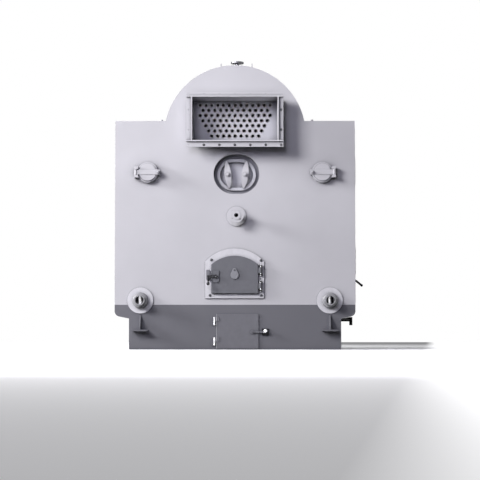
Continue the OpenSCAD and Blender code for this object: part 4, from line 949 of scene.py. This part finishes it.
# %% Lever sleeve and the painted shade under the drain
arm_slope = math.radians(39)
elbow = Vector((1.214, front_y + 0.3, 0.705))
outward = Vector((math.cos(arm_slope), 0, -math.sin(arm_slope)))
across = Vector((0, 1, 0))
arm_up = outward.cross(across)
sleeve_start, sleeve_end, rib_step = 0.012, 0.078, 0.003
sleeve_bore, groove_r, rib_r = 0.0075, 0.0102, 0.0115
sleeve_rings = [(sleeve_start, sleeve_bore)]
sleeve_rings += [(sleeve_start + i * rib_step, groove_r if i % 2 else rib_r) for i in range(23)]
sleeve_rings += [(sleeve_end, sleeve_bore)]
sleeve_shape = bmesh.new()
skin(sleeve_shape, [
    [elbow + outward * along + r * (across * cos + arm_up * sin) for cos, sin in circle(20)]
    for along, r in sleeve_rings
], closed=True)
finished("lever_sleeve", sleeve_shape, "damper_lever", black_enamel)

drain_y, shade_plate_half = front_y + 0.2, 0.012
shade_plate_outline = [(1.0575, 0.3075), (1.1485, 0.3075), (1.1485, 0.3265), (1.0575, 0.3085)]
shade_plate_shape = bmesh.new()
skin(shade_plate_shape, [
    [(x, drain_y + side * shade_plate_half, z) for x, z in shade_plate_outline] for side in (-1, 1)
])
finished("drain_shade_plate", shade_plate_shape, "boiler", black_enamel)

# %% [markdown]
# Behind each lower stub a vertical tube crosses the inside of the header. The photograph shows it as a
# bright bar in the dark bore. It is a polished oval tube, turned a little, which mirrors the white
# studio only along a narrow line. It stands behind the bore's free length, so a pipe can still be
# pushed in.

# %% Tubes inside the headers
header_z = 0.49
oval_r, oval_flatness, oval_height, oval_turn = 0.036, 0.5, 0.11, math.radians(15)
oval_x, oval_y = 0.006, front_y - 0.0093
oval = Matrix.Rotation(oval_turn, 4, "Z") @ Matrix.Diagonal((1, oval_flatness, 1, 1))
inner_shape = bmesh.new()
for side in (-1, 1):
    bmesh.ops.create_cone(
        inner_shape, cap_ends=True, segments=48, radius1=oval_r, radius2=oval_r, depth=oval_height,
        matrix=Matrix.Translation((side * header_x + oval_x, oval_y, header_z)) @ oval,
    )
oval_rims = [edge for edge in inner_shape.edges if edge.calc_face_angle(0) > 0.5]
bmesh.ops.bevel(inner_shape, geom=oval_rims, offset=0.004, segments=3, affect="EDGES")
finished("header_inner_tubes", inner_shape, "boiler", mirror_steel)

# %% [markdown]
# The fire door closes on a rope of woven glass, and a thick baffle inside shields the leaf from the
# fire. Both ride on the door and show only when it stands open. The rope's line follows the mouth at a
# small distance: three straight sides and an arc. Its tree sweeps a lobed profile along that line and
# twists it, so it looks woven.

# %% Rope seal of the fire door
rope_tree, rope_in = new_tree("rope_seal", {"Rope radius": "Float", "Twist length": "Float"})
rope_even, rope_along = measured_line(rope_tree, rope_in, 0.004)
rope_turns = calc(rope_tree, "DIVIDE", rope_along, rope_in["Twist length"])
rope_twisted = step(rope_tree, "GeometryNodeSetCurveTilt", {
    "Curve": rope_even, "Tilt": calc(rope_tree, "MULTIPLY", rope_turns, 2 * math.pi),
})
rope_star = step(rope_tree, "GeometryNodeCurveStar", {
    "Points": 5, "Inner Radius": calc(rope_tree, "MULTIPLY", rope_in["Rope radius"], 0.78),
    "Outer Radius": rope_in["Rope radius"],
})
sweep(rope_tree, rope_in, rope_twisted, rope_star)

door_x, mouth_half, mouth_low, mouth_r = -0.004, 0.205, 0.588, 0.3802


def mouth_line(half, low_z, spring_z, arc_r, count=40):
    """Straight sides under an arc, as a closed line of points in X and Z."""
    arc_z = spring_z - math.sqrt(arc_r ** 2 - half ** 2)
    reach = math.asin(half / arc_r)
    return [(door_x - half, low_z), (door_x + half, low_z)] + [
        (door_x + arc_r * math.sin(a), arc_z + arc_r * math.cos(a))
        for a in evenly(reach, -reach, count)
    ]


rope_side, rope_spring, rope_y = 0.014, 0.8546, front_y - 0.0203
rope_points = [
    Vector((x, rope_y, z)) for x, z in
    mouth_line(mouth_half + rope_side, mouth_low - rope_side, rope_spring, mouth_r + rope_side)
]
rope_edges = [(i, (i + 1) % len(rope_points)) for i in range(len(rope_points))]
woven = finish_tree("woven_rope", 0.95)
weave = between(woven, grain(woven, 600.0, 3.0), (0.42, 0.4, 0.36), (0.66, 0.64, 0.58))
grow("door_rope", starting_mesh("door_rope", rope_points, rope_edges), rope_tree, {
    "Rope radius": 0.0038, "Twist length": 0.03, "Finish": settle(woven, weave),
}, "fire_door", 75)

# %% Baffle inside the fire door
baffle_front, baffle_t, baffle_bevel = front_y - 0.0212, 0.022, 0.005
baffle_rear = baffle_front + baffle_t
baffle_shape = bmesh.new()
baffle_outline = mouth_line(0.18, 0.612, 0.83, mouth_r - 0.02)
skin(baffle_shape, [[(x, y, z) for x, z in baffle_outline] for y in (baffle_front, baffle_rear)])
baffle_rims = [
    edge for edge in baffle_shape.edges
    if all(corner.co.y > baffle_rear - baffle_t / 2 for corner in edge.verts)
]
bmesh.ops.bevel(baffle_shape, geom=baffle_rims, offset=baffle_bevel, segments=3, affect="EDGES")
finished("door_baffle", baffle_shape, "fire_door", grate_iron)
bolt_heads("baffle_bolts", [
    (Vector((door_x + x, front_y + 0.0006, z)), rearward) for x in (-0.12, 0.12) for z in (0.66, 0.81)
], "fire_door", 0.011, 0.007, bolt_steel, 1.5, 11)

# %% [markdown]
# Last come the bright ends of the fire door's hinge pins and the grease nipples on their lugs, which
# the photograph shows as white dots on each hinge, and the screws that hold the ash door's hinge
# leaves.

# %% Hinge pin ends, grease nipples and leaf screws
pin_x, pin_y, hinge_zs = 0.254, -1.839, (0.632, 0.789)
dome_screws("hinge_pin_caps", [
    (Vector((pin_x, pin_y, z + end * 0.053)), Vector((0, 0, end))) for z in hinge_zs for end in (-1, 1)
], "boiler", bright_steel, 0.0085, 0.005, 8)
dome_screws("grease_nipples", [
    (Vector((pin_x + 0.001, pin_y - 0.0158, z + rise)), forward)
    for z in hinge_zs for rise in (-0.035, 0.035)
], "boiler", bright_steel, 0.0065, 0.005, 9)
ash_leaf_x, ash_leaf_y, ash_leaf_zs = -0.2265, -1.816, (0.083, 0.283)
dome_screws("ash_hinge_screws", [
    (Vector((ash_leaf_x, ash_leaf_y, z + rise)), forward)
    for z in ash_leaf_zs for rise in (-0.03, -0.012)
], "boiler", dark_bolt, 0.0035, 0.0015, 12)

# %% [markdown] The dressed part may stand out of the solids' box by a few millimetres only, for a
# bolt head or a bead.
